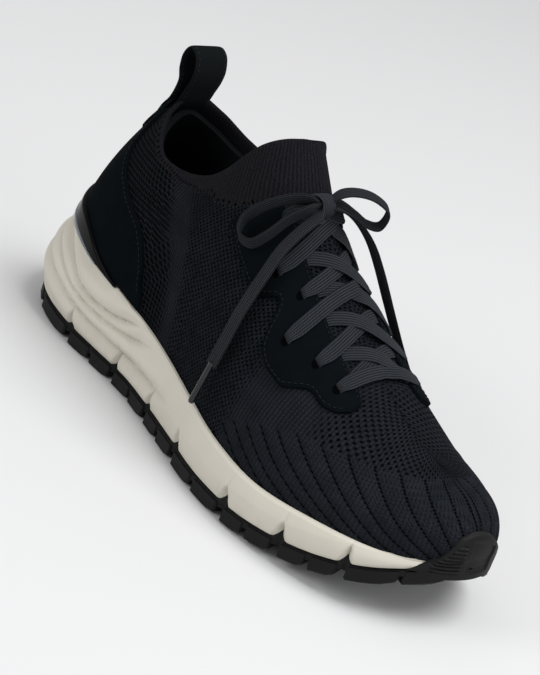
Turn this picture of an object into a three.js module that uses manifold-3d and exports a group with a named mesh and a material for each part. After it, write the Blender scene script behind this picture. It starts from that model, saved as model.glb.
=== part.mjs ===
// Right running shoe: knitted bootie upper, cupped foam midsole, lugged rubber outsole and a laced bow.
// Millimetres. +X points to the toe, +Y to the inner (medial) side, +Z up. The lugs stand on z = 0.
import * as THREE from 'three';
import { mergeVertices } from 'three/addons/utils/BufferGeometryUtils.js';
import Module from 'manifold-3d';

const wasm = await Module();
wasm.setup();

// ---------------------------------------------------------------- named sizes

// The last, station by station from the toe tip to the back of the heel. y is [lateral, medial].
// bed: height of the upper's bottom edge. rim: top of the midsole. ground: underside of the lugs.
// top: where the section ends, on the instep ridge at the front and on the collar behind the tongue.
const STATIONS = [
  { x: 145, y: [7, 7], bed: 33, rim: 33, ground: 23, top: { x: 113, y: [5, 5], z: [60, 60] } },
  { x: 140, y: [-12, 24], bed: 30, rim: 32, ground: 20, top: { x: 110, y: [5, 5], z: [60.5, 60.5] } },
  { x: 124, y: [-29, 37], bed: 23, rim: 29.5, ground: 12.5, top: { x: 100, y: [4.5, 4.5], z: [62, 62] } },
  { x: 98, y: [-41, 44], bed: 17.5, rim: 27, ground: 5, top: { x: 83, y: [4, 4], z: [67, 67] } },
  { x: 66, y: [-49, 46], bed: 15, rim: 25, ground: 1, top: { x: 60, y: [3, 3], z: [78, 78] } },
  { x: 34, y: [-48.5, 40], bed: 17, rim: 27, ground: 0, top: { x: 34, y: [2, 2], z: [94, 94] } },
  { x: 4, y: [-42.5, 31], bed: 20.5, rim: 30, ground: 0, top: { x: 8, y: [1, 1], z: [114, 114] } },
  { x: -22, y: [-37, 27.5], bed: 24, rim: 33, ground: 0, top: { x: -21, y: [0, 0], z: [143, 143] } },
  { x: -46, y: [-33, 27], bed: 27, rim: 35.5, ground: 0, top: { x: -31, y: [-17, 17], z: [138, 138] } },
  { x: -72, y: [-33, 29], bed: 29, rim: 39.5, ground: 0, top: { x: -53, y: [-24, 23], z: [110, 114] } },
  { x: -100, y: [-32, 30], bed: 30, rim: 43.8, ground: 0, top: { x: -82, y: [-26, 25], z: [104, 112] } },
  { x: -127, y: [-23, 23], bed: 31, rim: 48.2, ground: 1.5, top: { x: -102, y: [-17, 17], z: [116, 119] } },
  { x: -141, y: [0, 0], bed: 31, rim: 51.2, ground: 5, top: { x: -109, y: [0, 0], z: [126, 126] } },
];
const HEEL = STATIONS.length - 1;
const AROUND = 2 * HEEL;
const TONGUE = 7; // station where the instep ridge ends at the tongue's top
const ORIGIN = { x: -0.06, y: -1.84 }; // centre of the finished shoe in the frame of the table above

const CLEARANCE = 0.4;
const KNIT = 2.4;
const SUEDE = 1.2;
const SEWN_GAP = 0.6; // between the knit and the suede sewn on it
const LUG_DEPTH = 4;
const WEB = 3.2;
const SOLE_BASE = 7.5; // height of the midsole's underside over the ground line
const STROBEL = 1.2;
const INSOLE = 4.4;
const LINING = 3;
const STIFFENER = 0.8;
const GROOVE = {
  depth: 2.4,
  height: 7.5,
  halfWidth: 0.1, // in stations
  stations: [2.34, 3.36, 4.34, 5.74, 6.95, 8.38, 9.72],
};
const EDGE_LUG_WIDTH = 15;
const CENTRE_LUG = { outer: 18.5, width: 10, length: 0.62 }; // length in stations

const LACE = { width: 7, thick: 1.3 };
// Where each eyelet is, as [station, share of the way up the skin].
const EYELETS = [[3.9, 0.69], [4.4, 0.66], [4.9, 0.62], [5.35, 0.7], [5.85, 0.65], [6.35, 0.7]];
const KNOT = { centre: [3, -2.5, 128.5], half: [5.5, 4.8, 4] };
const LACE_HEIGHT = { onSuede: 3.1, low: 1.3, high: 2.4 };
const AGLET = { length: 19, radius: 1.5 };

const COLOURS = {
  knit: 0x17181c, suede: 0x0e0f11, foam: 0xc8c3b7, rubber: 0x17181a, lace: 0x2b2f35,
  gloss: 0x08090a, lining: 0x121316, board: 0x8a8a86, aglet: 0x1b1c1e,
};
const GLOSSY = ['gloss', 'aglet'];

// ---------------------------------------------------------------- curves

function catmull(a, b, c, d, f) {
  return b.map((value, k) => 0.5 * (2 * value + (c[k] - a[k]) * f
    + (2 * a[k] - 5 * value + 4 * c[k] - d[k]) * f ** 2 + (3 * value - a[k] - 3 * c[k] + d[k]) * f ** 3));
}

function loopAt(points, position) {
  const i = Math.floor(position);
  const at = (k) => points[((i + k) % points.length + points.length) % points.length];
  return catmull(at(-1), at(0), at(1), at(2), position - i);
}

function lineAt(points, position) {
  const last = points.length - 1;
  const i = Math.min(Math.max(Math.floor(position), 0), last - 1);
  const beyond = (end, next) => end.map((value, k) => 2 * value - next[k]);
  const before = i > 0 ? points[i - 1] : beyond(points[0], points[1]);
  const after = i < last - 1 ? points[i + 2] : beyond(points[last], points[last - 1]);
  return catmull(before, points[i], points[i + 1], after, position - i);
}

// Straight lines between [position, value] pairs, level beyond both ends.
function stepAt(table, position) {
  if (position <= table[0][0]) return table[0][1];
  const k = table.findIndex(([at]) => at >= position);
  if (k < 0) return table[table.length - 1][1];
  const [[x0, y0], [x1, y1]] = [table[k - 1], table[k]];
  return y0 + (y1 - y0) * (position - x0) / (x1 - x0);
}

function smooth(from, to, value) {
  const t = Math.min(Math.max((value - from) / (to - from), 0), 1);
  return t * t * (3 - 2 * t);
}

const mix = (a, b, t) => a + (b - a) * t;

function spread(from, to, step) {
  const count = Math.round((to - from) / step);
  return Array.from({ length: count + 1 }, (_, i) => mix(from, to, i / count));
}

const fold = (s) => Math.min(((s % AROUND) + AROUND) % AROUND, AROUND - (((s % AROUND) + AROUND) % AROUND));

const ringOf = (pick) => [
  ...STATIONS.map((station) => pick(station, 0)),
  ...STATIONS.slice(1, -1).reverse().map((station) => pick(station, 1)),
];
const BED = ringOf((station, side) => [station.x, station.y[side], station.bed]);
const RIM = ringOf((station) => [station.rim]);
const GROUND = ringOf((station) => [station.ground]);
const TOP = ringOf(({ top }, side) => [top.x, top.y[side], top.z[side]]);
const RIDGE = TOP.slice(0, TONGUE + 1);
const COLLAR = TOP.slice(TONGUE, AROUND - TONGUE);

// ---------------------------------------------------------------- the upper's outer skin

const bedAt = (s) => loopAt(BED, s);
const rimAt = (s) => loopAt(RIM, s)[0];

// The ground line under the sole, from heel to toe, as [x, height] pairs.
const GROUND_LINE = spread(0, HEEL, 0.25).reverse()
  .map((s) => [bedAt(s)[0], Math.max(loopAt(GROUND, s)[0], 0)]);
const groundUnder = (x) => stepAt(GROUND_LINE, x);

function topAt(s) {
  const station = ((s % AROUND) + AROUND) % AROUND;
  return fold(s) <= TONGUE ? lineAt(RIDGE, fold(s)) : loopAt(COLLAR, station - TONGUE);
}

function outwardAt(s) {
  const step = 0.002;
  const [x0, y0] = bedAt(s - step);
  const [x1, y1] = bedAt(s + step);
  return new THREE.Vector2(y0 - y1, x1 - x0).normalize();
}

function skinBase(s, v) {
  const bed = bedAt(s);
  const top = topAt(s);
  const out = outwardAt(s);
  const heel = smooth(5.5, 9.5, fold(s));
  const inward = mix(1 - Math.cos(Math.PI * v / 2), v ** 1.5, heel);
  const rise = mix(Math.sin(Math.PI * v / 2) ** 0.92, v, heel);
  const bulge = (1.5 + 2.5 * (1 - smooth(1, 3, fold(s))) + 1.5 * heel) * Math.sin(Math.PI * v);
  return new THREE.Vector3(
    mix(bed[0], top[0], inward) + out.x * bulge,
    mix(bed[1], top[1], inward) + out.y * bulge,
    mix(bed[2], top[2], rise),
  );
}

function sideNormal(s, v) {
  const step = 0.002;
  const along = skinBase(s + step, v).sub(skinBase(s - step, v));
  const up = skinBase(s, Math.min(v + step, 1)).sub(skinBase(s, Math.max(v - step, 0)));
  return along.cross(up).normalize().negate();
}

// Over the instep ridge the two sides' normals are averaged, so that both sides meet in one line.
function skinNormal(s, v) {
  const ridgeStart = 0.96;
  const onRidge = 1 - smooth(TONGUE, TONGUE + 0.8, fold(s));
  if (onRidge === 0 || v <= ridgeStart) return sideNormal(s, Math.max(v, 0.001));
  const share = 0.5 * onRidge * (v - ridgeStart) / (1 - ridgeStart);
  return sideNormal(s, mix(v, ridgeStart, onRidge)).multiplyScalar(1 - share)
    .addScaledVector(sideNormal(AROUND - s, ridgeStart), share).normalize();
}

const skin = (s, v, height) => skinBase(s, v).addScaledVector(skinNormal(s, v), height);

function vAtHeight(s, z) {
  let low = 0;
  let high = 1;
  for (let i = 0; i < 24; i += 1) {
    const middle = (low + high) / 2;
    if (skinBase(s, middle).z < z) low = middle;
    else high = middle;
  }
  return low;
}

// A point at a set distance outside (or, negative, inside) the upper's footprint.
function rail(s, offset, z) {
  const [x, y] = bedAt(s);
  const out = outwardAt(s);
  return new THREE.Vector3(x + out.x * offset, y + out.y * offset, z);
}

// The same, at a set height over the ground line.
function soleRail(s, offset, height) {
  const point = rail(s, offset, 0);
  return point.setZ(groundUnder(point.x) + height);
}

// Halfway between a rail's lateral and medial points.
const spine = (s, offset, z) => rail(s, offset, z).lerp(rail(AROUND - s, offset, z), 0.5);

function soleSpine(s, offset, height) {
  const point = spine(s, offset, 0);
  return point.setZ(groundUnder(point.x) + height);
}

// ---------------------------------------------------------------- solids

// Columns around the shoe, closer together round the toe and the heel.
const HALF_COLUMNS = [...spread(0, 2, 0.25), ...spread(2.5, 10, 0.5), ...spread(10.25, HEEL, 0.25)];
const COLUMNS = [...HALF_COLUMNS, ...HALF_COLUMNS.slice(1, -1).reverse().map((s) => AROUND - s)];

function columnsBetween(from, to, extra = []) {
  const inside = [...COLUMNS.map((s) => s - AROUND), ...COLUMNS, ...extra]
    .filter((s) => s > from + 0.05 && s < to - 0.05)
    .sort((a, b) => a - b);
  return [from, ...inside, to].filter((s, i, all) => i === 0 || s - all[i - 1] > 0.01);
}

function quad(a, b, c, d) {
  return [[a, b, c], [a, c, d]];
}

// Skins consecutive rings of points. Open lofts get an end face that zips each half ring to the other.
function loft(rings, { loop = false, skip = () => false } = {}) {
  const size = rings[0].length;
  const triangles = [];
  rings.forEach((ring, i) => {
    if (!loop && i === rings.length - 1) return;
    const next = rings[(i + 1) % rings.length];
    for (let k = 0; k < size; k += 1) {
      const after = (k + 1) % size;
      if (!skip(i, k)) triangles.push(...quad(ring[k], next[k], next[after], ring[after]));
    }
  });
  if (loop) return triangles;
  const last = rings[rings.length - 1];
  for (let k = 0; k < size / 2 - 1; k += 1) {
    triangles.push(...quad(rings[0][k], rings[0][k + 1], rings[0][size - 2 - k], rings[0][size - 1 - k]));
    triangles.push(...quad(last[size - 1 - k], last[size - 2 - k], last[k + 1], last[k]));
  }
  return triangles;
}

function weld(geometry) {
  const bare = new THREE.BufferGeometry().setAttribute('position', geometry.getAttribute('position'));
  if (geometry.index) bare.setIndex(geometry.index);
  const merged = mergeVertices(bare, 1e-3);
  const index = Array.from(merged.index.array);
  const kept = [];
  for (let i = 0; i < index.length; i += 3) {
    const [a, b, c] = index.slice(i, i + 3);
    if (a !== b && b !== c && c !== a) kept.push(a, b, c);
  }
  merged.setIndex(kept);
  return merged;
}

function signedVolume(geometry) {
  const position = geometry.getAttribute('position');
  const at = (i) => new THREE.Vector3().fromBufferAttribute(position, geometry.index.getX(i));
  let sum = 0;
  for (let i = 0; i < geometry.index.count; i += 3) sum += at(i).dot(at(i + 1).cross(at(i + 2))) / 6;
  return sum;
}

function solid(triangles) {
  const geometry = weld(new THREE.BufferGeometry().setFromPoints(triangles.flat()));
  if (signedVolume(geometry) < 0) geometry.setIndex(Array.from(geometry.index.array).reverse());
  return geometry;
}

function toManifold(geometry) {
  return new wasm.Manifold(new wasm.Mesh({
    numProp: 3,
    vertProperties: new Float32Array(geometry.getAttribute('position').array),
    triVerts: new Uint32Array(geometry.index.array),
  }));
}

function join(geometries) {
  const mesh = geometries.map(toManifold).reduce((whole, piece) => whole.add(piece)).getMesh();
  const geometry = new THREE.BufferGeometry();
  geometry.setAttribute('position', new THREE.BufferAttribute(new Float32Array(mesh.vertProperties), 3));
  geometry.setIndex(Array.from(mesh.triVerts));
  return weld(geometry);
}

// A sheet lying on the skin between two heights, one column of rows per station.
function panel(columns, low, high, inner, outer, rows) {
  return solid(loft(columns.map((s) => {
    const vs = spread(0, 1, 1 / rows).map((t) => mix(low(s), high(s), t));
    return [...vs.map((v) => skin(s, v, outer)), ...vs.reverse().map((v) => skin(s, v, inner))];
  })));
}

// A flat sheet inside the shoe, following the bed, between two heights over it.
function footbed(inset, from, to) {
  return solid(loft(COLUMNS.map((s) => {
    const top = bedAt(s)[2] + to;
    const foot = bedAt(s)[2] + from;
    return [rail(s, -inset, top), spine(s, -inset, top), spine(s, -inset, foot), rail(s, -inset, foot)];
  }), { loop: true, skip: (i, k) => k === 1 }));
}

// A flat strap along a path. Its width lies along the given direction, square to the path.
function strap(path, widthAt, { width, thick }) {
  const corner = 0.08;
  return solid(loft(path.map((point, i) => {
    const before = path[Math.max(i - 1, 0)];
    const after = path[Math.min(i + 1, path.length - 1)];
    const tangent = after.clone().sub(before).normalize();
    const across = widthAt(i).clone().addScaledVector(tangent, -widthAt(i).dot(tangent)).normalize();
    const normal = tangent.clone().cross(across);
    const at = (a, n) => point.clone()
      .addScaledVector(across, a * width / 2)
      .addScaledVector(normal, n * thick / 2);
    const flat = 1 - 2 * corner;
    return [at(-flat, 1), at(flat, 1), at(1, 0), at(flat, -1), at(-flat, -1), at(-1, 0)];
  })));
}

// ---------------------------------------------------------------- sole

function wallOffset(s, t) {
  const heel = smooth(8, 11.5, fold(s));
  const underBumper = 2.4 * (1 - smooth(1.2, 2.4, fold(s)));
  const side = 5 + 1.2 * Math.sin(Math.PI * t) - 2.3 * t;
  const back = 7 + 5 * Math.sin(Math.PI * Math.min(t * 1.1, 1)) - 5 * t;
  return mix(side, back, heel) - underBumper;
}

function grooveAt(s, height) {
  const distance = Math.min(...GROOVE.stations.map((station) => Math.abs(fold(s) - station)));
  const beside = Math.max(1 - distance / GROOVE.halfWidth, 0);
  const above = Math.max(1 - height / GROOVE.height, 0);
  return GROOVE.depth * beside * above;
}

function wallPoint(s, t, offset = 0) {
  const base = soleRail(s, wallOffset(s, 0), SOLE_BASE).z;
  const z = mix(base, rimAt(s), t);
  return rail(s, wallOffset(s, t) - grooveAt(s, z - base) + offset, z);
}

// The sole's own columns also follow both edges and the bottom of each groove.
const GROOVE_COLUMNS = GROOVE.stations.flatMap((s) => [s - GROOVE.halfWidth, s, s + GROOVE.halfWidth]);
const SOLE_COLUMNS = columnsBetween(
  0,
  AROUND,
  [...GROOVE_COLUMNS, ...GROOVE_COLUMNS.map((s) => AROUND - s)],
).slice(0, -1);
const WALL_ROWS = [0, 0.3, 0.55, 0.8, 1];

function midsole() {
  const rings = SOLE_COLUMNS.map((s) => {
    const rimV = vAtHeight(s, rimAt(s));
    const floor = bedAt(s)[2] - CLEARANCE;
    return [
      ...WALL_ROWS.map((t) => wallPoint(s, t)),
      ...[1, 0.5, 0].map((share) => skin(s, rimV * share, CLEARANCE)),
      rail(s, CLEARANCE, floor),
      spine(s, CLEARANCE, floor),
      soleSpine(s, wallOffset(s, 0), SOLE_BASE),
    ];
  });
  return solid(loft(rings, { loop: true, skip: (i, k) => k === 9 }));
}

function web() {
  const top = SOLE_BASE - 0.5;
  return solid(loft(SOLE_COLUMNS.map((s) => {
    const edge = wallOffset(s, 0);
    return [
      soleRail(s, edge, top),
      soleSpine(s, edge, top),
      soleSpine(s, edge, top - WEB),
      soleRail(s, edge, top - WEB),
    ];
  }), { loop: true, skip: (i, k) => k === 1 }));
}

// One block of tread between two stations, from its inner to its outer distance off the outline.
function lug(from, to, inset, outset, chamfer) {
  const rings = spread(from, to, (to - from) / 2).map((s, i) => {
    const root = LUG_DEPTH + 0.5;
    const foot = i === 0 ? chamfer : 0;
    const edge = outset ?? wallOffset(s, 0);
    return [
      soleRail(s, edge, root),
      soleRail(s, edge, foot),
      soleRail(s, inset, foot),
      soleRail(s, inset, root),
    ];
  });
  return solid(loft(rings));
}

function outsole() {
  const ends = [0.5, ...GROOVE.stations, HEEL - 0.25];
  const gap = 0.07;
  const lugs = [];
  for (let i = 1; i < ends.length; i += 1) {
    const middle = (ends[i - 1] + ends[i]) / 2;
    [[ends[i - 1] + gap, middle - gap / 2], [middle + gap / 2, ends[i] - gap]].forEach(([from, to]) => {
      lugs.push(lug(from, to, -EDGE_LUG_WIDTH, null, 1.2));
      lugs.push(lug(AROUND - from, AROUND - to, -EDGE_LUG_WIDTH, null, 1.2));
    });
    const length = CENTRE_LUG.length / 2;
    const narrow = i === 1 || i === ends.length - 1;
    const inset = narrow ? CENTRE_LUG.outer + CENTRE_LUG.width / 2 : CENTRE_LUG.outer + CENTRE_LUG.width;
    lugs.push(lug(middle - length, middle + length, -inset, -CENTRE_LUG.outer, 0));
    lugs.push(lug(AROUND - middle + length, AROUND - middle - length, -inset, -CENTRE_LUG.outer, 0));
  }
  return join([web(), ...lugs]);
}

function toeBumper() {
  const [from, to] = [-1.5, 1.3];
  const foot = 0.06;
  // [share of the way up the sole's wall, distance outside it]
  const outerWall = [[foot, 2.6], [0.3, 2.8], [0.55, 2.8], [0.8, 2.7], [1, 2.6]];
  const gap = 2 * CLEARANCE;
  const rings = columnsBetween(from, to).map((s) => {
    const rise = 1 - (2 * (s - from) / (to - from) - 1) ** 4;
    const vLip = vAtHeight(s, rimAt(s) + 1.2);
    const vTop = mix(vLip + 0.02, Math.max(0.33, vLip + 0.06), rise);
    const vMiddle = mix(vLip, vTop, 0.5);
    return [
      ...outerWall.map(([t, offset]) => wallPoint(s, t, offset)),
      skin(s, vMiddle, 3),
      skin(s, mix(vMiddle, vTop, 0.5), 2.7),
      skin(s, vTop, 2.2),
      ...[vTop, vMiddle, vLip].map((v) => skin(s, v, gap)),
      rail(s, wallOffset(s, 1) + gap, rimAt(s) + gap),
      ...[0.8, 0.55, 0.3, foot].map((t) => wallPoint(s, t, gap)),
    ];
  });
  return solid(loft(rings));
}

// ---------------------------------------------------------------- upper and what is sewn to it

function knitUpper() {
  const vs = spread(0, 1, 1 / 9);
  const rings = COLUMNS.map((s) => [
    ...vs.map((v) => skin(s, v, 0)),
    ...vs.slice().reverse().map((v) => skin(s, v, -KNIT)),
  ]);
  const overRidge = (i) => fold(COLUMNS[i]) <= TONGUE && fold(COLUMNS[(i + 1) % COLUMNS.length]) <= TONGUE;
  return solid(loft(rings, { loop: true, skip: (i, k) => k === vs.length - 1 && overRidge(i) }));
}

const aboveRim = (s, gap) => vAtHeight(s, rimAt(s) + gap);
// Outlines of the suede pieces as [station, v].
const HEEL_PATCH_EDGE = [
  [8.4, 0.24], [8.7, 0.32], [9.1, 0.48], [9.7, 0.62], [10.5, 0.72], [11, 0.82], [11.35, 0.95], [12, 0.96],
];
const EYESTAY_EDGE = [
  [3.5, 0.7], [3.65, 0.61], [3.85, 0.57], [4.2, 0.57], [4.35, 0.52], [4.5, 0.45], [4.9, 0.43],
  [5.2, 0.46], [5.35, 0.56], [5.55, 0.57], [5.75, 0.5], [6.1, 0.46], [6.9, 0.48], [7.1, 0.55],
];
const EYESTAY_INNER = [[3.5, 0.76], [3.7, 0.8], [5.5, 0.81], [6.9, 0.79], [7.1, 0.74]];

function heelPatch() {
  return panel(
    columnsBetween(8.4, AROUND - 8.4, [8.7, 9.7, 11.35, 12.65, 14.3, 15.3]),
    (s) => aboveRim(s, 1),
    (s) => stepAt(HEEL_PATCH_EDGE, fold(s)),
    CLEARANCE,
    CLEARANCE + SUEDE,
    6,
  );
}

function heelClip() {
  const base = 2 * CLEARANCE + SUEDE;
  return panel(
    columnsBetween(9.1, AROUND - 9.1),
    (s) => aboveRim(s, 0.8),
    (s) => aboveRim(s, 1.6 + 9 * smooth(9.1, 10.6, fold(s))),
    base,
    base + 1.6,
    2,
  );
}

function eyestay(medial) {
  const columns = columnsBetween(3.5, 7.1, EYESTAY_EDGE.map(([s]) => s));
  return panel(
    medial ? columns.map((s) => AROUND - s).reverse() : columns,
    (s) => stepAt(EYESTAY_EDGE, fold(s)),
    (s) => stepAt(EYESTAY_INNER, fold(s)),
    SEWN_GAP,
    SEWN_GAP + SUEDE,
    4,
  );
}

function insidePanel(from, to, top, depth, thick, rows) {
  const aboveInsole = STROBEL + INSOLE + 3.5;
  return panel(
    columnsBetween(from, to),
    (s) => vAtHeight(s, bedAt(s)[2] + aboveInsole),
    top,
    -KNIT - depth - thick,
    -KNIT - depth,
    rows,
  );
}

// The finger loop stands on the heel's top edge and tips about its foot.
const TAB = { width: 19, thick: 1.6 };
const TAB_PROFILE = [
  [-108.8, 129], [-111.2, 136], [-111, 143], [-106.8, 148.6],
  [-101.5, 146.5], [-99.6, 140], [-101, 134], [-104, 129],
];

function pullTab() {
  const path = spread(0, TAB_PROFILE.length - 1, 0.4).map((t) => {
    const [x, z] = lineAt(TAB_PROFILE, t);
    return new THREE.Vector3(x, 0, z);
  });
  return strap(path, () => new THREE.Vector3(0, 1, 0), TAB);
}

function tabAnchor() {
  const base = 2 * CLEARANCE + SUEDE;
  return panel([11.4, 11.6, 11.8, 12, 12.2, 12.4, 12.6], () => 0.78, () => 0.985, base, base + 1.2, 3);
}

// ---------------------------------------------------------------- laces

// Across the instep: q runs from the lateral side (negative) over the ridge to the medial side.
const instep = (station, q, height) => skin(q < 0 ? station : AROUND - station, 1 - Math.abs(q), height);

// One run of lace from its eyelet over the ridge to the far side. mid is its height at the ridge.
function strand(eyelet, side, mid, reach, shift) {
  const [station, v] = EYELETS[eyelet];
  const from = 1 - v;
  const suedeEdge = 0.2;
  const stations = spread(0, 1, 0.1).map((t) => {
    const q = mix(from, -reach, t);
    const onSuede = smooth(suedeEdge - 0.08, suedeEdge - 0.01, Math.abs(q));
    const low = q > 0 || reach > suedeEdge ? LACE_HEIGHT.onSuede : LACE_HEIGHT.low;
    const overRidge = mix(mid, LACE_HEIGHT.low, smooth(0.04, suedeEdge - 0.08, Math.abs(q)));
    return { station: station + shift * t, q: q * side, height: mix(overRidge, low, onSuede) };
  });
  const path = stations.map(({ station: s, q, height }) => instep(s, q, height));
  const along = stations.map(({ station: s, q }) => instep(s + 0.05, q, 0).sub(instep(s - 0.05, q, 0)));
  return strap(path, (i) => along[i], LACE);
}

const laceBar = () => strand(0, -1, LACE_HEIGHT.low, 1 - EYELETS[0][1], 0);

function laceCross(eyelet) {
  const lateralOnTop = eyelet % 2 === 0;
  const reach = 0.155;
  const shift = 0.12;
  return join([
    strand(eyelet, -1, lateralOnTop ? LACE_HEIGHT.high : LACE_HEIGHT.low, reach, shift),
    strand(eyelet, 1, lateralOnTop ? LACE_HEIGHT.low : LACE_HEIGHT.high, reach, shift),
  ]);
}

function laceKnot() {
  const ball = new THREE.SphereGeometry(1, 14, 9);
  ball.scale(...KNOT.half).translate(...KNOT.centre);
  const [station, v] = EYELETS[EYELETS.length - 1];
  const ties = [-1, 1].map((side) => {
    const points = [
      instep(station, side * (1 - v), LACE_HEIGHT.onSuede),
      instep(station, side * 0.2, LACE_HEIGHT.onSuede),
      instep(station - 0.05, side * 0.1, LACE_HEIGHT.onSuede + 1.5),
      new THREE.Vector3(...KNOT.centre),
    ].map((point) => point.toArray());
    const path = spread(0, points.length - 1, 0.5).map((t) => new THREE.Vector3(...lineAt(points, t)));
    return strap(path, () => new THREE.Vector3(1, 0, -0.8), LACE);
  });
  return join([weld(ball), ...ties]);
}

const LOOP_WIDTH = new THREE.Vector3(-0.55, 0, 0.83);
const TAIL_WIDTH = new THREE.Vector3(1, 0, 0.1);
const CORDS = {
  lace_loop_lateral: {
    points: [
      [2, -8.6, 131], [-1, -16, 130.5], [-8, -25, 124.5], [-13, -32, 114], [-11, -35.5, 107],
      [-5, -34.5, 103.5], [0, -27, 110.5], [3, -18, 119.5], [5, -11, 126.5],
    ],
    width: LOOP_WIDTH,
  },
  lace_loop_medial: {
    points: [
      [6, 4, 133], [4, 10, 137], [9, 20, 137], [14.5, 27, 131],
      [14.5, 28, 124], [11, 22, 120], [6, 15, 123.5], [2, 7.5, 128.5],
    ],
    width: LOOP_WIDTH,
  },
  lace_end_lateral: {
    points: [
      [11.5, -9.5, 119], [11, -19, 113], [11.5, -29.5, 101],
      [12.5, -38, 85], [13, -44, 68], [13, -48, 53],
    ],
    width: TAIL_WIDTH,
  },
  lace_end_medial: {
    points: [
      [10.5, 4.5, 122.5], [14, 14, 118.5], [24, 22.5, 103.5],
      [36, 28.5, 87], [43, 36, 72], [47, 42, 58],
    ],
    width: TAIL_WIDTH,
  },
};

function cordPath(points) {
  return spread(0, points.length - 1, 1 / 3).map((t) => new THREE.Vector3(...lineAt(points, t)));
}

const cord = (name) => strap(cordPath(CORDS[name].points), () => CORDS[name].width, LACE);

function aglet(name) {
  const path = cordPath(CORDS[name].points);
  const end = path[path.length - 1];
  const direction = end.clone().sub(path[path.length - 2]).normalize();
  const geometry = new THREE.CylinderGeometry(AGLET.radius, AGLET.radius, AGLET.length, 10);
  const turn = new THREE.Quaternion().setFromUnitVectors(new THREE.Vector3(0, 1, 0), direction);
  geometry.applyQuaternion(turn);
  const centre = end.addScaledVector(direction, CLEARANCE + AGLET.length / 2);
  geometry.translate(centre.x, centre.y, centre.z);
  return weld(geometry);
}

// ---------------------------------------------------------------- the shoe

const PARTS = {
  outsole: ['rubber', outsole],
  toe_bumper: ['rubber', toeBumper],
  midsole: ['foam', midsole],
  strobel_board: ['board', () => footbed(KNIT + 0.5, 0, STROBEL)],
  insole: ['lining', () => footbed(KNIT + 2.4, STROBEL + CLEARANCE, STROBEL + CLEARANCE + INSOLE)],
  knit_upper: ['knit', knitUpper],
  toe_puff: ['board', () => insidePanel(-2.5, 2.5, () => 0.75, CLEARANCE, STIFFENER, 3)],
  heel_counter: ['board', () => insidePanel(9.5, 14.5, () => 0.62, CLEARANCE, STIFFENER, 3)],
  heel_lining: ['lining', () => insidePanel(9, 15, () => 0.93, 2 * CLEARANCE + STIFFENER, LINING, 4)],
  heel_patch: ['suede', heelPatch],
  heel_clip: ['gloss', heelClip],
  eyestay_lateral: ['suede', () => eyestay(false)],
  eyestay_medial: ['suede', () => eyestay(true)],
  pull_tab_anchor: ['suede', tabAnchor],
  pull_tab: ['suede', pullTab],
  lace_row_1: ['lace', laceBar],
  lace_row_2: ['lace', () => laceCross(1)],
  lace_row_3: ['lace', () => laceCross(2)],
  lace_row_4: ['lace', () => laceCross(3)],
  lace_row_5: ['lace', () => laceCross(4)],
  lace_knot: ['lace', laceKnot],
  lace_loop_lateral: ['lace', () => cord('lace_loop_lateral')],
  lace_loop_medial: ['lace', () => cord('lace_loop_medial')],
  lace_end_lateral: ['lace', () => cord('lace_end_lateral')],
  lace_end_medial: ['lace', () => cord('lace_end_medial')],
  aglet_lateral: ['aglet', () => aglet('lace_end_lateral')],
  aglet_medial: ['aglet', () => aglet('lace_end_medial')],
};

const shoe = new THREE.Group();
Object.entries(PARTS).forEach(([name, [slot, build]]) => {
  const roughness = GLOSSY.includes(slot) ? 0.15 : 0.8;
  const material = new THREE.MeshStandardMaterial({ color: COLOURS[slot], roughness });
  const mesh = new THREE.Mesh(build().translate(-ORIGIN.x, -ORIGIN.y, 0), material);
  mesh.name = name;
  shoe.add(mesh);
});

export default shoe;
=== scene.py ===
"""Looks of the right running shoe: knit, suede, a foam midsole, rubber tread and a laced bow."""

import math
from collections import namedtuple

import bmesh
import bpy
import numpy as np
from mathutils import Matrix, Vector


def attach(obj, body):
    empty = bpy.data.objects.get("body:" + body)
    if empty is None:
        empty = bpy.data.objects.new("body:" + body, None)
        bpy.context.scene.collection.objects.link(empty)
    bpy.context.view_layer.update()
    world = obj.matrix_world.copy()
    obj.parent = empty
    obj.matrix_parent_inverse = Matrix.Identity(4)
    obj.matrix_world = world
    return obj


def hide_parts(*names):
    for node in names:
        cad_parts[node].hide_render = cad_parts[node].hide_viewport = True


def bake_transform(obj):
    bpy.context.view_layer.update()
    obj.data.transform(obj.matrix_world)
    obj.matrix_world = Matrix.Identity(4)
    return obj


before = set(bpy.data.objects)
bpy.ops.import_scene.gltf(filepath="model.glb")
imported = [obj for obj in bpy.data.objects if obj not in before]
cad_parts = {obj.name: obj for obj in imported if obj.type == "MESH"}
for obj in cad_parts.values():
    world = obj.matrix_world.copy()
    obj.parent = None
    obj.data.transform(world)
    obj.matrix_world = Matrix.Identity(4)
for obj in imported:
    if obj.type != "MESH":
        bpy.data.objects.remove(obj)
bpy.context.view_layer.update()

# ---------------------------------------------------------------- named sizes, in millimetres

MM = 0.001

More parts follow.
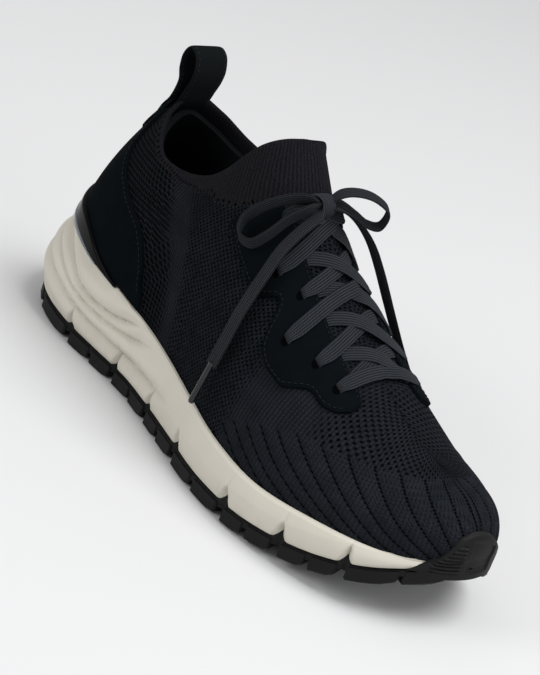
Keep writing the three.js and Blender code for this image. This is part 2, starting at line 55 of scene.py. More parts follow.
# Sections of the shoe from the toe tip back to the heel. y, top_y and top_z are (lateral, medial).
# bed is the height of the upper's bottom edge, rim that of the foam's top edge, and ground that of the lugs.
# The top is where a section ends: on the instep's ridge, or on the collar behind the tongue.
# The tops of the tongue and the heel are a few millimetres off the solids'.
Station = namedtuple("Station", "x y bed rim ground top_x top_y top_z")
STATIONS = [
    Station(145, (7, 7), 33, 33, 23, 113, (5, 5), (60, 60)),
    Station(140, (-12, 24), 30, 32, 20, 110, (5, 5), (60.5, 60.5)),
    Station(124, (-29, 37), 23, 29.5, 12.5, 100, (4.5, 4.5), (62, 62)),
    Station(98, (-41, 44), 17.5, 27, 5, 83, (4, 4), (67, 67)),
    Station(66, (-49, 46), 15, 25, 1, 60, (3, 3), (78, 78)),
    Station(34, (-48.5, 40), 17, 27, 0, 34, (2, 2), (94, 94)),
    Station(4, (-42.5, 31), 20.5, 30, 0, 8, (1, 1), (114, 114)),
    Station(-22, (-37, 27.5), 24, 33, 0, -19.5, (0, 0), (146.5, 146.5)),
    Station(-46, (-33, 27), 27, 35.5, 0, -31, (-17, 17), (139, 136.5)),
    Station(-72, (-33, 29), 29, 39.5, 0, -53, (-24, 23), (110, 114)),
    Station(-100, (-32, 30), 30, 43.8, 0, -82, (-26, 25), (104, 112)),
    Station(-127, (-23, 23), 31, 48.2, 1.5, -99.5, (-17, 17), (116, 119)),
    Station(-141, (0, 0), 31, 51.2, 5, -105, (0, 0), (126, 126)),
]
HEEL = len(STATIONS) - 1
AROUND = 2 * HEEL  # stations in a lap: back along the lateral side, forward along the medial side
TONGUE = 7  # station where the instep's ridge ends at the tongue's top
ORIGIN = np.array([-0.06, -1.84, 0.0])  # centre of the finished shoe in the frame of the stations
STATION_MM = 27.0  # about how long a station is along the side
ANKLE_X = -62.0  # the collar's ribs fan out from here
COLLAR_RADIUS = 38.0  # about how far the collar is from there

CLEARANCE = 0.4
KNIT = 2.4
SUEDE = 1.2
SEWN_GAP = 0.6  # between the knit and the suede sewn on it
STROBEL = 1.2
INSOLE = 4.4
LINING = 3.0
STIFFENER = 0.8
SOLE_BASE = 7.5  # height of the foam's underside over the ground line
WEB = 3.2  # thickness of the rubber sheet that joins the lugs
LUG_DEPTH = 4.0
GROOVES = [2.34, 3.36, 4.34, 5.74, 6.95, 8.38, 9.72]  # stations of the cuts across the sole
EDGE_LUG_WIDTH = 15.0
CENTRE_LUG = {"outer": 18.5, "width": 10.0, "length": 0.62}  # length in stations
LACE = {"width": 7.0, "thick": 1.3, "ribs": 6}
# Each eyelet as (station, share of the way up the skin).
EYELETS = [(3.9, 0.69), (4.38, 0.66), (4.92, 0.57), (5.33, 0.72), (5.82, 0.64), (6.35, 0.7)]
KNOT = {"centre": (2.2, -4.2, 125.2), "half": (5.5, 4.8, 4)}
AGLET = {"length": 19.0, "radius": 1.5}
TAB = {"width": 19.0, "thick": 1.8}
STITCH = {"pitch": 2.7, "length": 1.8, "radius": 0.3}
STITCH_INSET = 1.7  # from the suede's edge to its stitches

# ---------------------------------------------------------------- camera and stage

CAMERA = {
    "yaw": 43.54, "pitch": 24.23, "roll": 20.48, "distance": 1.2,
    "target": (0.0, 0.0018, 0.06), "lens": 141.6, "shift": (-0.0132, -0.0112),
}
LIT_POINT = (0, 0, 0.06)
FLOOR_REACH = 9
FLOOR_CORNERS = [(-1, -1), (1, -1), (1, 1), (-1, 1)]


def camera_axes():
    """The camera's right, up and backward directions."""
    yaw, pitch, roll = (math.radians(CAMERA[turn]) for turn in ("yaw", "pitch", "roll"))
    back = Vector((math.sin(yaw) * math.cos(pitch), -math.cos(yaw) * math.cos(pitch), math.sin(pitch)))
    level = Vector((math.cos(yaw), math.sin(yaw), 0))
    up = back.cross(level)
    return level * math.cos(roll) + up * math.sin(roll), up * math.cos(roll) - level * math.sin(roll), back


def add_camera():
    data = bpy.data.cameras.new("camera")
    data.lens = CAMERA["lens"]
    data.sensor_width = 36
    data.shift_x, data.shift_y = CAMERA["shift"]
    camera = bpy.data.objects.new("camera", data)
    axes = camera_axes()
    place = Vector(CAMERA["target"]) + axes[2] * CAMERA["distance"]
    camera.matrix_world = Matrix.Translation(place) @ Matrix(axes).transposed().to_4x4()
    bpy.context.scene.collection.objects.link(camera)
    bpy.context.scene.camera = camera


def area_light(name, place, size, power):
    """A round soft light that points at the shoe."""
    data = bpy.data.lights.new(name, "AREA")
    data.shape = "DISK"
    data.size = size
    data.energy = power
    light = bpy.data.objects.new(name, data)
    light.location = place
    light.rotation_euler = (Vector(LIT_POINT) - Vector(place)).to_track_quat("-Z", "Y").to_euler()
    bpy.context.scene.collection.objects.link(light)


def add_lights():
    world = bpy.data.worlds.new("studio")
    world.use_nodes = True
    sky = world.node_tree.nodes["Background"]
    sky.inputs["Color"].default_value = (0.80, 0.80, 0.81, 1)
    sky.inputs["Strength"].default_value = 0.62
    bpy.context.scene.world = world
    bpy.context.scene.view_settings.view_transform = "Standard"
    area_light("key", (0.60, 0.40, 1.70), 1.3, 27)
    area_light("side", (-0.35, -1.25, 0.85), 0.8, 6)
    area_light("front", (1.30, -0.10, 0.60), 0.6, 3)


def add_floor():
    mesh = bpy.data.meshes.new("floor")
    mesh.from_pydata([(x * FLOOR_REACH, y * FLOOR_REACH, 0) for x, y in FLOOR_CORNERS], [], [(0, 1, 2, 3)])
    mesh.materials.append(MATERIALS["floor"])
    floor = bpy.data.objects.new("floor", mesh)
    bpy.context.scene.collection.objects.link(floor)


# ---------------------------------------------------------------- shape of the shoe
#
# s counts stations round the shoe and v is the share of the way up the skin, from the bed to the top.


def smooth(low, high, value):
    """0 below low and 1 above high, smooth between them."""
    t = np.clip((value - low) / (high - low), 0, 1)
    return t * t * (3 - 2 * t)


def mix(a, b, t):
    return a + (b - a) * t


def unit(vectors):
    return vectors / np.maximum(np.linalg.norm(vectors, axis=-1, keepdims=True), 1e-9)


def curve_at(pairs, position):
    """Straight lines between (position, value) pairs."""
    at, value = zip(*pairs)
    return np.interp(position, at, value)


def catmull(a, b, c, d, f):
    """A point between b and c, a share f of the way, on the smooth line through all four."""
    return 0.5 * (2 * b + (c - a) * f + (2 * a - 5 * b + 4 * c - d) * f**2 + (3 * b - a - 3 * c + d) * f**3)


def loop_at(points, position):
    """A smooth closed line through the points; position 1 is the second of them."""
    i = np.floor(position).astype(int)
    return catmull(*(points[(i + k) % len(points)] for k in (-1, 0, 1, 2)), (position - i)[..., None])


def line_at(points, position):
    """A smooth open line through the points."""
    points = np.asarray(points, float)
    position = np.asarray(position, float)
    ends = np.vstack([2 * points[0] - points[1], points, 2 * points[-1] - points[-2]])
    i = np.clip(np.floor(position), 0, len(points) - 2).astype(int)
    return catmull(*(ends[i + k] for k in (0, 1, 2, 3)), (position - i)[..., None])


def ring_of(pick):
    """What pick takes from each station, for one lap of the shoe."""
    there = [pick(station, 0) for station in STATIONS]
    back = [pick(station, 1) for station in STATIONS[-2:0:-1]]
    return np.array(there + back, float)


BED = ring_of(lambda station, side: (station.x, station.y[side], station.bed))
RIM = ring_of(lambda station, side: (station.rim,))
GROUND = ring_of(lambda station, side: (station.ground,))
TOP = ring_of(lambda station, side: (station.top_x, station.top_y[side], station.top_z[side]))
RIDGE = TOP[: TONGUE + 1]
COLLAR = TOP[TONGUE : AROUND - TONGUE]


def fold(s):
    """Stations back from the toe tip on either side."""
    return np.minimum(s % AROUND, AROUND - s % AROUND)


def bed_at(s):
    return loop_at(BED, s)


def rim_at(s):
    return loop_at(RIM, s)[..., 0]


GROUND_STATIONS = np.arange(HEEL, -0.01, -0.25)  # heel to toe, so that x rises
GROUND_X = bed_at(GROUND_STATIONS)[:, 0]
GROUND_Z = np.maximum(loop_at(GROUND, GROUND_STATIONS)[:, 0], 0)


def ground_under(x):
    """Height of the lugs' underside, which curves up at the toe and a little at the heel."""
    return np.interp(x, GROUND_X, GROUND_Z)


def top_at(s):
    ridge = line_at(RIDGE, np.minimum(fold(s), TONGUE))
    collar = loop_at(COLLAR, np.clip(s % AROUND - TONGUE, 0, AROUND - 2 * TONGUE))
    return np.where((fold(s) <= TONGUE)[..., None], ridge, collar)


def outward_at(s, step=0.002):
    """The level direction away from the shoe."""
    ahead = bed_at(s + step) - bed_at(s - step)
    return unit(np.stack([-ahead[..., 1], ahead[..., 0]], -1))


def skin_base(s, v):
    """The upper's outside without its ribs. It arches over the forefoot and stands up at the heel."""
    s, v = np.broadcast_arrays(np.asarray(s, float), np.asarray(v, float))
    bed, top, out = bed_at(s), top_at(s), outward_at(s)
    toe = 1 - smooth(1, 3, fold(s))
    heel = smooth(5.5, 9.5, fold(s))
    arch = smooth(0.6, 0.85, v) * (1 - smooth(7.3, 8.8, fold(s)))
    inward = mix(1 - np.cos(np.pi * v / 2), v**1.5, heel)
    rise = mix(np.sin(np.pi * v / 2) ** 0.92, v, heel * (1 - arch))
    bulge = (1.5 + 2.5 * toe + 1.5 * heel) * np.sin(np.pi * v)
    flat = mix(bed[..., :2], top[..., :2], inward[..., None]) + out * bulge[..., None]
    return np.concatenate([flat, mix(bed[..., 2], top[..., 2], rise)[..., None]], -1)


def side_normal(s, v, step=0.002):
    along = skin_base(s + step, v) - skin_base(s - step, v)
    up = skin_base(s, np.minimum(v + step, 1)) - skin_base(s, np.maximum(v - step, 0))
    return unit(np.cross(up, along))


def skin_normal(s, v):
    """Square to the skin. Over the instep ridge both sides' normals are averaged."""
    ridge_start = 0.96
    s, v = np.broadcast_arrays(np.asarray(s, float), np.asarray(v, float))
    on_ridge = np.where(v > ridge_start, 1 - smooth(TONGUE, TONGUE + 0.8, fold(s)), 0)
    share = (0.5 * on_ridge * (v - ridge_start) / (1 - ridge_start))[..., None]
    own = side_normal(s, mix(np.maximum(v, 0.001), ridge_start, on_ridge))
    other = side_normal(AROUND - s, np.full_like(v, ridge_start))
    return unit(own * (1 - share) + other * share)


def skin(s, v, height):
    """Points that stand height millimetres proud of the skin."""
    return skin_base(s, v) + skin_normal(s, v) * np.asarray(height, float)[..., None]


def skin_point(s, v, height):
    return skin(np.array([s]), np.array([v]), np.array([height]))[0]


def v_at_height(s, z):
    """How far up the skin it reaches the height z, found by halving."""
    low, high = np.zeros_like(s, float), np.ones_like(s, float)
    for _ in range(24):
        middle = (low + high) / 2
        under = skin_base(s, middle)[..., 2] < z
        low, high = np.where(under, middle, low), np.where(under, high, middle)
    return low


def above_rim(s, gap):
    """How far up the skin it is gap millimetres above the foam's rim."""
    return v_at_height(s, rim_at(s) + gap)


def rail(s, offset, z):
    """Points offset millimetres outside the bed's outline, at the height z."""
    s, offset, z = np.broadcast_arrays(s, offset, z)
    flat = bed_at(s)[..., :2] + outward_at(s) * offset[..., None]
    return np.concatenate([flat, z[..., None]], -1)


def spine(s, offset, z):
    """Points midway between the two sides' rails."""
    return (rail(s, offset, z) + rail(AROUND - s, offset, z)) / 2


def over_ground(points, height):
    points[..., 2] = ground_under(points[..., 0]) + height
    return points


def sole_rail(s, offset, height):
    return over_ground(rail(s, offset, 0.0), height)


def sole_spine(s, offset, height):
    return over_ground(spine(s, offset, 0.0), height)


def wall_offset(s, t):
    """How far the foam's wall stands outside the bed, t of the way up. It swells at the heel."""
    heel = smooth(8, 11.5, fold(s))
    under_bumper = 2.4 * (1 - smooth(1.2, 2.4, fold(s)))
    side = 5 + 1.2 * np.sin(np.pi * t) - 2.3 * t
    back = 7 + 5 * np.sin(np.pi * np.minimum(t * 1.1, 1)) - 5 * t
    return mix(side, back, heel) - under_bumper


# ---------------------------------------------------------------- meshes


def add_piece(name, mesh, material, replaces=(), body="shoe"):
    piece = bpy.data.objects.new(name, mesh)
    bpy.context.scene.collection.objects.link(piece)
    mesh.materials.append(MATERIALS[material])
    if body:
        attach(piece, body)
    if replaces:
        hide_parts(*replaces)
    return piece


def in_frame(points):
    """From millimetres in the stations' frame to metres in the model's."""
    return (np.asarray(points) - ORIGIN) * MM


def end_cap(ring, turn):
    """Faces across a ring, from one half to the other."""
    size = len(ring)
    return [
        [int(ring[k]), int(ring[k + 1]), int(ring[size - 2 - k]), int(ring[size - 1 - k])][::turn]
        for k in range(size // 2 - 1)
    ]


def finish_mesh(mesh, sharp_deg):
    """Welds seams, turns every face outward and sets which edges look sharp."""
    work = bmesh.new()
    work.from_mesh(mesh)
    bmesh.ops.remove_doubles(work, verts=work.verts, dist=0.002 * MM)
    bmesh.ops.dissolve_degenerate(work, edges=work.edges, dist=0.001 * MM)
    bmesh.ops.recalc_face_normals(work, faces=work.faces)
    work.to_mesh(mesh)
    work.free()
    mesh.shade_smooth()
    mesh.set_sharp_from_angle(angle=math.radians(sharp_deg))


def grid_mesh(name, points, sharp, joined=False, skip=None, weave=None, values=None):
    """A skin over a grid of points, one closed ring after another. joined: the last ring meets the first.
    skip marks the faces left out. weave is the cloth's map, with one more row each way the grid closes.
    values are named numbers at the points."""
    rings, size = points.shape[:2]
    index = np.arange(rings * size).reshape(rings, size)
    step = np.pad(index, ((0, int(joined)), (0, 1)), mode="wrap")
    rows, columns = step.shape[0] - 1, step.shape[1] - 1
    pick = [(slice(a, rows + a), slice(b, columns + b)) for a, b in ((0, 0), (1, 0), (1, 1), (0, 1))]
    faces = np.stack([step[where] for where in pick], -1).reshape(-1, 4)
    keep = np.ones(len(faces), bool) if skip is None else ~skip.reshape(-1)
    faces = faces[keep].tolist()
    if not joined:
        faces += end_cap(index[0], 1) + end_cap(index[-1], -1)
    mesh = bpy.data.meshes.new(name)
    mesh.from_pydata(in_frame(points).reshape(-1, 3).tolist(), [], faces)
    if weave is not None:
        corners = np.stack([weave[where] for where in pick], -2).reshape(-1, 4, 2)[keep].reshape(-1, 2)
        loops = np.zeros((len(mesh.loops), 2), np.float32)
        loops[: len(corners)] = corners
        mesh.uv_layers.new(name="weave").data.foreach_set("uv", loops.ravel())
    for label, grid in (values or {}).items():
        layer = mesh.attributes.new(label, "FLOAT", "POINT")
        layer.data.foreach_set("value", np.ascontiguousarray(grid, np.float32).ravel())
    finish_mesh(mesh, sharp)
    return mesh


def join_meshes(name, meshes):
    whole = bmesh.new()
    for mesh in meshes:
        whole.from_mesh(mesh)
        bpy.data.meshes.remove(mesh)
    mesh = bpy.data.meshes.new(name)
    whole.to_mesh(mesh)
    whole.free()
    return mesh


def arc_lengths(points, axis):
    """Distance walked along one axis of a grid of points."""
    steps = np.linalg.norm(np.diff(points, axis=axis), axis=-1)
    shape = list(steps.shape)
    shape[axis] = 1
    return np.cumsum(np.concatenate([np.zeros(shape), steps], axis), axis)


def columns_between(low, high, pitch):
    """Evenly spaced stations, about pitch apart."""
    return np.linspace(low, high, int(round((high - low) / pitch)) + 1)


def strap_profile(ribs, edge):
    """Half a band's section: places across it from -1 to 1, and how high it stands there from 0 to 1."""
    if not ribs:
        across = np.sin(np.linspace(-np.pi / 2, np.pi / 2, 13))
        return across, np.sqrt(np.maximum(1 - np.abs(across) ** edge, 0))
    across = np.linspace(-1, 1, 4 * ribs + 1)
    crown = np.sqrt(np.maximum(1 - np.abs(across) ** (2 * edge), 0))
    between_ribs = 0.5 + 0.5 * np.cos(np.pi * ribs * (across + 1))
    return across, crown * (1 - 0.16 * between_ribs)


def strap_mesh(name, path, across, width, thick, ribs=0, edge=3.0):
    """A flat band along a path. across gives its width's direction at each point."""
    path = np.asarray(path, float)
    tangent = unit(np.gradient(path, axis=0))
    across = np.broadcast_to(np.asarray(across, float), path.shape)
    across = unit(across - tangent * np.sum(across * tangent, -1, keepdims=True))
    normal = np.cross(tangent, across)
    place, crown = strap_profile(ribs, edge)
    side = np.concatenate([place, place[-2:0:-1]])
    lift = np.concatenate([crown, -crown[-2:0:-1]])
    width = np.broadcast_to(width, len(path))[:, None, None]
    thick = np.broadcast_to(thick, len(path))[:, None, None]
    points = (path[:, None] + across[:, None] * side[None, :, None] * width / 2
              + normal[:, None] * lift[None, :, None] * thick / 2)
    around = np.append(side, side[0])[None] * 0.5 + 0.5
    u, w = np.broadcast_arrays(around * LACE["width"], arc_lengths(path, 0)[:, None])
    return grid_mesh(name, points, sharp=60, weave=np.stack([u, w], -1))


# ---------------------------------------------------------------- node maths


class Value:
    """A number in a material that varies over the surface."""

    def __init__(self, tree, socket):
        self.tree = tree
        self.socket = socket

    def math(self, operation, *others):
        node = self.tree.nodes.new("ShaderNodeMath")
        node.operation = operation
        for slot, item in zip(node.inputs, (self, *others)):
            feed(self.tree, item, slot)
        return Value(self.tree, node.outputs[0])

    def __add__(self, other):
        return self.math("ADD", other)

    def __sub__(self, other):
        return self.math("SUBTRACT", other)

    def __mul__(self, other):
        return self.math("MULTIPLY", other)

    def __truediv__(self, other):
        return self.math("DIVIDE", other)

    def wave(self, pitch):
        """A smooth wave from -1 to 1 with that pitch."""
        return (self * (2 * math.pi / pitch)).math("SINE")

    def saw(self, pitch):
        """Distance from the middle of each step of that pitch, -0.5 to 0.5."""
        return (self / pitch).math("FRACT") - 0.5

    def size(self):
        return self.math("ABSOLUTE")

    def step(self, low, high):
        """0 below low and 1 above high, smooth between them. Falls instead where high is less than low."""
        node = self.tree.nodes.new("ShaderNodeMapRange")
        node.interpolation_type = "SMOOTHSTEP"
        falls = high < low
        ends = (high, low, 1.0, 0.0) if falls else (low, high, 0.0, 1.0)
        feed(self.tree, self, node.inputs["Value"])
        for label, number in zip(("From Min", "From Max", "To Min", "To Max"), ends):
            node.inputs[label].default_value = number
        return Value(self.tree, node.outputs["Result"])


def feed(tree, item, slot):
    """Links a varying number to a socket, or sets the socket to a plain one."""
    if isinstance(item, Value):
        tree.links.new(item.socket, slot)
    else:
        slot.default_value = item


class Paint:
    """One material being made."""

    def __init__(self, name, roughness, shine=0.1, **shader_values):
        self.material = bpy.data.materials.new(name)
        self.material.use_nodes = True
        self.tree = self.material.node_tree
        self.shader = self.tree.nodes["Principled BSDF"]
        self.shader.inputs["Roughness"].default_value = roughness
        self.shader.inputs["Specular IOR Level"].default_value = shine
        for label, number in shader_values.items():
            self.shader.inputs[label.replace("_", " ")].default_value = number

    def attribute(self, name):
        node = self.tree.nodes.new("ShaderNodeAttribute")
        node.attribute_name = name
        return Value(self.tree, node.outputs["Fac"])

    def weave(self):
        """Millimetres across and along the cloth."""
        node = self.tree.nodes.new("ShaderNodeUVMap")
        node.uv_map = "weave"
        split = self.tree.nodes.new("ShaderNodeSeparateXYZ")
        self.tree.links.new(node.outputs[0], split.inputs[0])
        return Value(self.tree, split.outputs[0]), Value(self.tree, split.outputs[1])

    def place(self):
        """The point's coordinates in millimetres."""
        node = self.tree.nodes.new("ShaderNodeTexCoord")
        scale = self.tree.nodes.new("ShaderNodeVectorMath")
        scale.operation = "SCALE"
        scale.inputs["Scale"].default_value = 1 / MM
        self.tree.links.new(node.outputs["Object"], scale.inputs[0])
        return scale.outputs[0]

    def height_of(self):
        split = self.tree.nodes.new("ShaderNodeSeparateXYZ")
        self.tree.links.new(self.place(), split.inputs[0])
        return Value(self.tree, split.outputs[2])

    def noise(self, pitch, detail):
        """Random between 0 and 1, with lumps about pitch millimetres wide."""
        node = self.tree.nodes.new("ShaderNodeTexNoise")
        node.inputs["Scale"].default_value = 1 / pitch
        node.inputs["Detail"].default_value = detail
        self.tree.links.new(self.place(), node.inputs["Vector"])
        return Value(self.tree, node.outputs["Fac"])

    def blend(self, share, first, second):
        """From the first colour to the second. Each is three numbers or an earlier blend."""
        node = self.tree.nodes.new("ShaderNodeMix")
        node.data_type = "RGBA"
        feed(self.tree, share, node.inputs["Factor"])
        for slot, colour in ((node.inputs[6], first), (node.inputs[7], second)):
            feed(self.tree, colour if isinstance(colour, Value) else (*colour, 1), slot)
        return Value(self.tree, node.outputs[2])

    def colour(self, value):
        self.tree.links.new(value.socket, self.shader.inputs["Base Color"])

    def mottle(self, pitch, detail, dark, light):
        """Colours it in soft lumps between two colours, and returns the pattern."""
        pattern = self.noise(pitch, detail)
        self.colour(self.blend(pattern, dark, light))
        return pattern

    def rough(self, value):
        self.tree.links.new(value.socket, self.shader.inputs["Roughness"])

    def bump(self, height, depth_mm, strength=1.0):
        node = self.tree.nodes.new("ShaderNodeBump")
        node.inputs["Strength"].default_value = strength
        node.inputs["Distance"].default_value = depth_mm * MM
        self.tree.links.new(height.socket, node.inputs["Height"])
        self.tree.links.new(node.outputs[0], self.shader.inputs["Normal"])


# ---------------------------------------------------------------- materials


def stitch_columns(u, w, wide, tall):
    """Knit stitches: columns of small V shapes."""
    side = u.saw(wide).size()
    loops = (w + side * (0.9 * tall)).wave(tall) * 0.3 + 0.7
    return side.step(0.5, 0.15) * loops


def holes(u, w, wide, tall, size):
    """1 in a grid of round holes, 0 between them."""
    across = u.saw(wide)
    up = w.saw(tall)
    reach = across * across + up * up
    return reach.step((size + 0.12) ** 2, (size - 0.06) ** 2)


def knit_material():
    """Black knit: ribs in front, a perforated vamp, seed stitch, open mesh, and a fine rib at the collar."""
    paint = Paint("knit", 0.9, shine=0.04)
    u, w = paint.weave()
    zones = ("ribs", "mesh", "vamp", "collar", "seed")
    ribs, mesh, vamp, collar, seed = (paint.attribute(zone) for zone in zones)
    rib, seam, edge, turn = (paint.attribute(line) for line in ("rib", "seam", "edge", "turn"))
    grain = paint.noise(0.55, 3)
    wander = paint.noise(1.6, 2) * 2.2

    # Each zone's stitches.
    plain = stitch_columns(u + wander * 0.12, w, 2.0, 1.7)
    in_rib = stitch_columns(rib * 7.5, w, 1.25, 1.05)
    seed_bumps = (u + wander).wave(3.3) * (w + u * 0.25).wave(2.7)
    fine_rib = (turn + wander * 0.3).wave(1.25) * 0.5 + 0.5

    # Each zone's holes.
    rib_holes = (rib + 0.5).saw(1).size().step(0.09, 0.03) * (w.wave(1.7).step(-0.3, 0.4) * 0.6 + 0.2)
    mesh_holes = holes(seam, w, 2.6, 2.4, 0.31)
    vamp_holes = holes(u + w, u - w, 4.3, 4.3, 0.21)
    seed_holes = seed_bumps.step(-0.25, -0.75)
    collar_holes = (edge - 1.4).size().step(0.8, 0.3) * turn.wave(2.5).step(0.1, 0.5)

    deep = (rib_holes * ribs + mesh_holes * mesh + vamp_holes * vamp * 0.75 + seed_holes * seed * 0.85
            + collar_holes * (collar + mesh + seed) * 0.8)
    height = (in_rib * ribs * 0.5 + plain * (collar * -0.85 + 0.85) + seed_bumps * seed * 0.45
              + fine_rib * collar * 0.15 + grain * 0.8 - deep * 1.2)
    side = mesh + seed
    dark = paint.blend(side, (0.0095, 0.0112, 0.0150), (0.0065, 0.0082, 0.0112))
    light = paint.blend(side, (0.0200, 0.0225, 0.0280), (0.0150, 0.0180, 0.0235))
    yarn = paint.blend(paint.noise(9, 3) * 1.3 - 0.15, dark, light)
    band = paint.blend(fine_rib * 0.3 + grain * 0.7, (0.0080, 0.0080, 0.0105), (0.0300, 0.0290, 0.0350))
    # Painted shade: the yarn darkens to near black where the stitches sit low, and the holes are painted near
    # black as shade inside them.
    yarn_with_painted_shade = paint.blend(height.step(-0.1, 1.1), (0.0014, 0.0017, 0.0026), paint.blend(collar, yarn, band))
    paint.colour(paint.blend(deep.step(0.15, 0.8), yarn_with_painted_shade, (0.0007, 0.0008, 0.0011)))
    paint.bump(height, 0.7)
    return paint.material


def suede_material():
    paint = Paint("suede", 0.9, shine=0.02)
    nap = paint.noise(0.5, 4)
    shade = paint.noise(11, 3) * 0.7 + nap * 0.4 - 0.1
    paint.colour(paint.blend(shade, (0.0018, 0.0028, 0.0036), (0.0040, 0.0058, 0.0070)))
    paint.bump(nap, 0.15)
    return paint.material


def foam_material():
    """Off-white foam, a little dusty near the ground."""
    paint = Paint("foam", 0.62, shine=0.35)
    grain = paint.noise(0.7, 3)
    dust = paint.height_of().step(22, 6) * paint.noise(6, 4).step(0.45, 0.85)
    clean = paint.blend(paint.noise(26, 2), (0.555, 0.525, 0.450), (0.620, 0.590, 0.515))
    paint.colour(paint.blend(dust * 0.35, clean, (0.400, 0.365, 0.290)))
    paint.rough(grain * 0.16 + 0.54)
    paint.bump(grain, 0.06, 0.7)
    return paint.material


def rubber_material():
    """Black rubber, dusty where it meets the ground."""
    paint = Paint("rubber", 0.6, shine=0.12)
    grain = paint.noise(0.5, 3)
    dust = paint.height_of().step(7, 0.5) * paint.noise(4, 4).step(0.4, 0.8)
    clean = paint.blend(paint.noise(12, 3), (0.0060, 0.0060, 0.0063), (0.0105, 0.0105, 0.0110))
    paint.colour(paint.blend(dust * 0.25, clean, (0.045, 0.043, 0.040)))
    paint.rough(grain * 0.3 + 0.42)
    paint.bump(grain, 0.07)
    return paint.material


def lace_material():
    """A braid: fine slanted threads over the lace's long ribs."""
    paint = Paint("lace", 0.75, shine=0.15)
    u, w = paint.weave()
    rib = u.wave(LACE["width"] / LACE["ribs"]) * 0.5 + 0.5
    slant = (w + u.saw(2 * LACE["width"] / LACE["ribs"]).size() * 2.4).wave(0.85) * 0.5 + 0.5
    height = rib * 0.6 + slant * 0.5
    shade = paint.blend(paint.noise(7, 3), (0.0300, 0.0345, 0.0420), (0.0440, 0.0500, 0.0600))
    # Painted shade: the low places between the ribs and the slanted threads are painted near black.
    paint.colour(paint.blend(height.step(0.25, 1.0), (0.0022, 0.0027, 0.0038), shade))
    paint.bump(height, 0.35)
    return paint.material


def lining_material():
    paint = Paint("lining", 0.95, shine=0.03)
    paint.bump(paint.mottle(0.9, 2, (0.0030, 0.0036, 0.0042), (0.0080, 0.0090, 0.0100)), 0.3)
    return paint.material


def gloss_material():
    paint = Paint("gloss", 0.2, shine=0.05)
    smudge = paint.mottle(14, 3, (0.0012, 0.0013, 0.0016), (0.0026, 0.0028, 0.0032))
    paint.rough(smudge * 0.10 + 0.14)
    return paint.material


def clear_and_highlight_material():
    # Pale clear plastic, painted light enough that the strip also shows as a painted highlight line along the
    # heel clip.
    paint = Paint("clear_edge_and_painted_highlight", 0.12, shine=0.5, Transmission_Weight=0.6)
    paint.mottle(9, 2, (0.30, 0.33, 0.36), (0.42, 0.45, 0.48))
    return paint.material


def aglet_material():
    """Dark clear plastic with the lace's weave showing through."""
    paint = Paint("aglet", 0.15, shine=0.5)
    turns = paint.weave()[1].wave(0.9)
    paint.colour(paint.blend(turns * 0.5 + 0.5, (0.004, 0.005, 0.006), (0.012, 0.014, 0.017)))
    paint.bump(turns, 0.05, 0.4)
    return paint.material


def thread_material():
    paint = Paint("thread", 0.7)
    paint.bump(paint.mottle(0.35, 2, (0.0040, 0.0050, 0.0058), (0.0095, 0.0115, 0.0135)), 0.08)
    return paint.material


def webbing_material():
    """Soft woven strip with a row of stitches beside each edge."""
    paint = Paint("webbing", 0.9, shine=0.03)
    u, w = paint.weave()
    nap = paint.noise(0.5, 4)
    from_middle = (u - LACE["width"] / 2).size()
    row = from_middle.step(2.72, 2.78) * from_middle.step(2.95, 2.89)
    stitches = row * w.wave(2.6).step(-0.3, 0.1)
    cloth = paint.blend(nap, (0.0035, 0.0045, 0.0050), (0.0075, 0.0090, 0.0100))
    paint.colour(paint.blend(stitches, cloth, (0.016, 0.019, 0.022)))
    paint.bump(nap * 0.5 + stitches, 0.2)
    return paint.material


def hole_shade_material():
    # Painted shade: near black for the inside of the eyelet holes.
    paint = Paint("hole_shade", 1.0, shine=0.0)
    paint.mottle(1.0, 2, (0.0010, 0.0010, 0.0012), (0.0020, 0.0020, 0.0024))
    return paint.material


def board_material():
    """Pressed fibre board of the hidden stiffeners."""
    paint = Paint("board", 0.9)
    paint.bump(paint.mottle(1.2, 4, (0.20, 0.20, 0.185), (0.32, 0.32, 0.30)), 0.1)
    return paint.material


def floor_material():
    paint = Paint("floor", 0.85)
    paint.mottle(500, 1, (0.655, 0.657, 0.660), (0.675, 0.677, 0.680))
    return paint.material


MATERIALS = {
    "knit": knit_material(),
    "suede": suede_material(),
    "foam": foam_material(),
    "rubber": rubber_material(),
    "lace": lace_material(),
    "lining": lining_material(),
    "gloss": gloss_material(),
    "clear": clear_and_highlight_material(),
    "aglet": aglet_material(),
    "thread": thread_material(),
    "webbing": webbing_material(),
    "hole_shade": hole_shade_material(),
    "board": board_material(),
    "floor": floor_material(),
}

# ---------------------------------------------------------------- upper

# Where the knit changes, as (station, share of the way up) or, for lines that climb, (share, station).
RIB_END = [(0, 0.87), (1, 0.82), (2.2, 0.63), (3.7, 0.42), (4.9, 0.17), (5.3, 0.02), (12, -0.1)]
COLLAR_EDGE = [
    (6.2, 1.05), (6.6, 0.74), (6.9, 0.59), (7.3, 0.56), (8, 0.62), (9, 0.9), (9.7, 0.965), (12, 0.965),
]
MESH_FRONT = [(0, 7.5), (0.15, 7.73), (0.3, 8.07), (0.56, 8.68), (0.88, 9.32), (1, 9.6)]
PATCH_SEAM = [
    (0, 8.2), (0.24, 8.4), (0.32, 8.7), (0.48, 9.1), (0.62, 9.7), (0.72, 10.5), (0.82, 11), (1, 11.4),
]

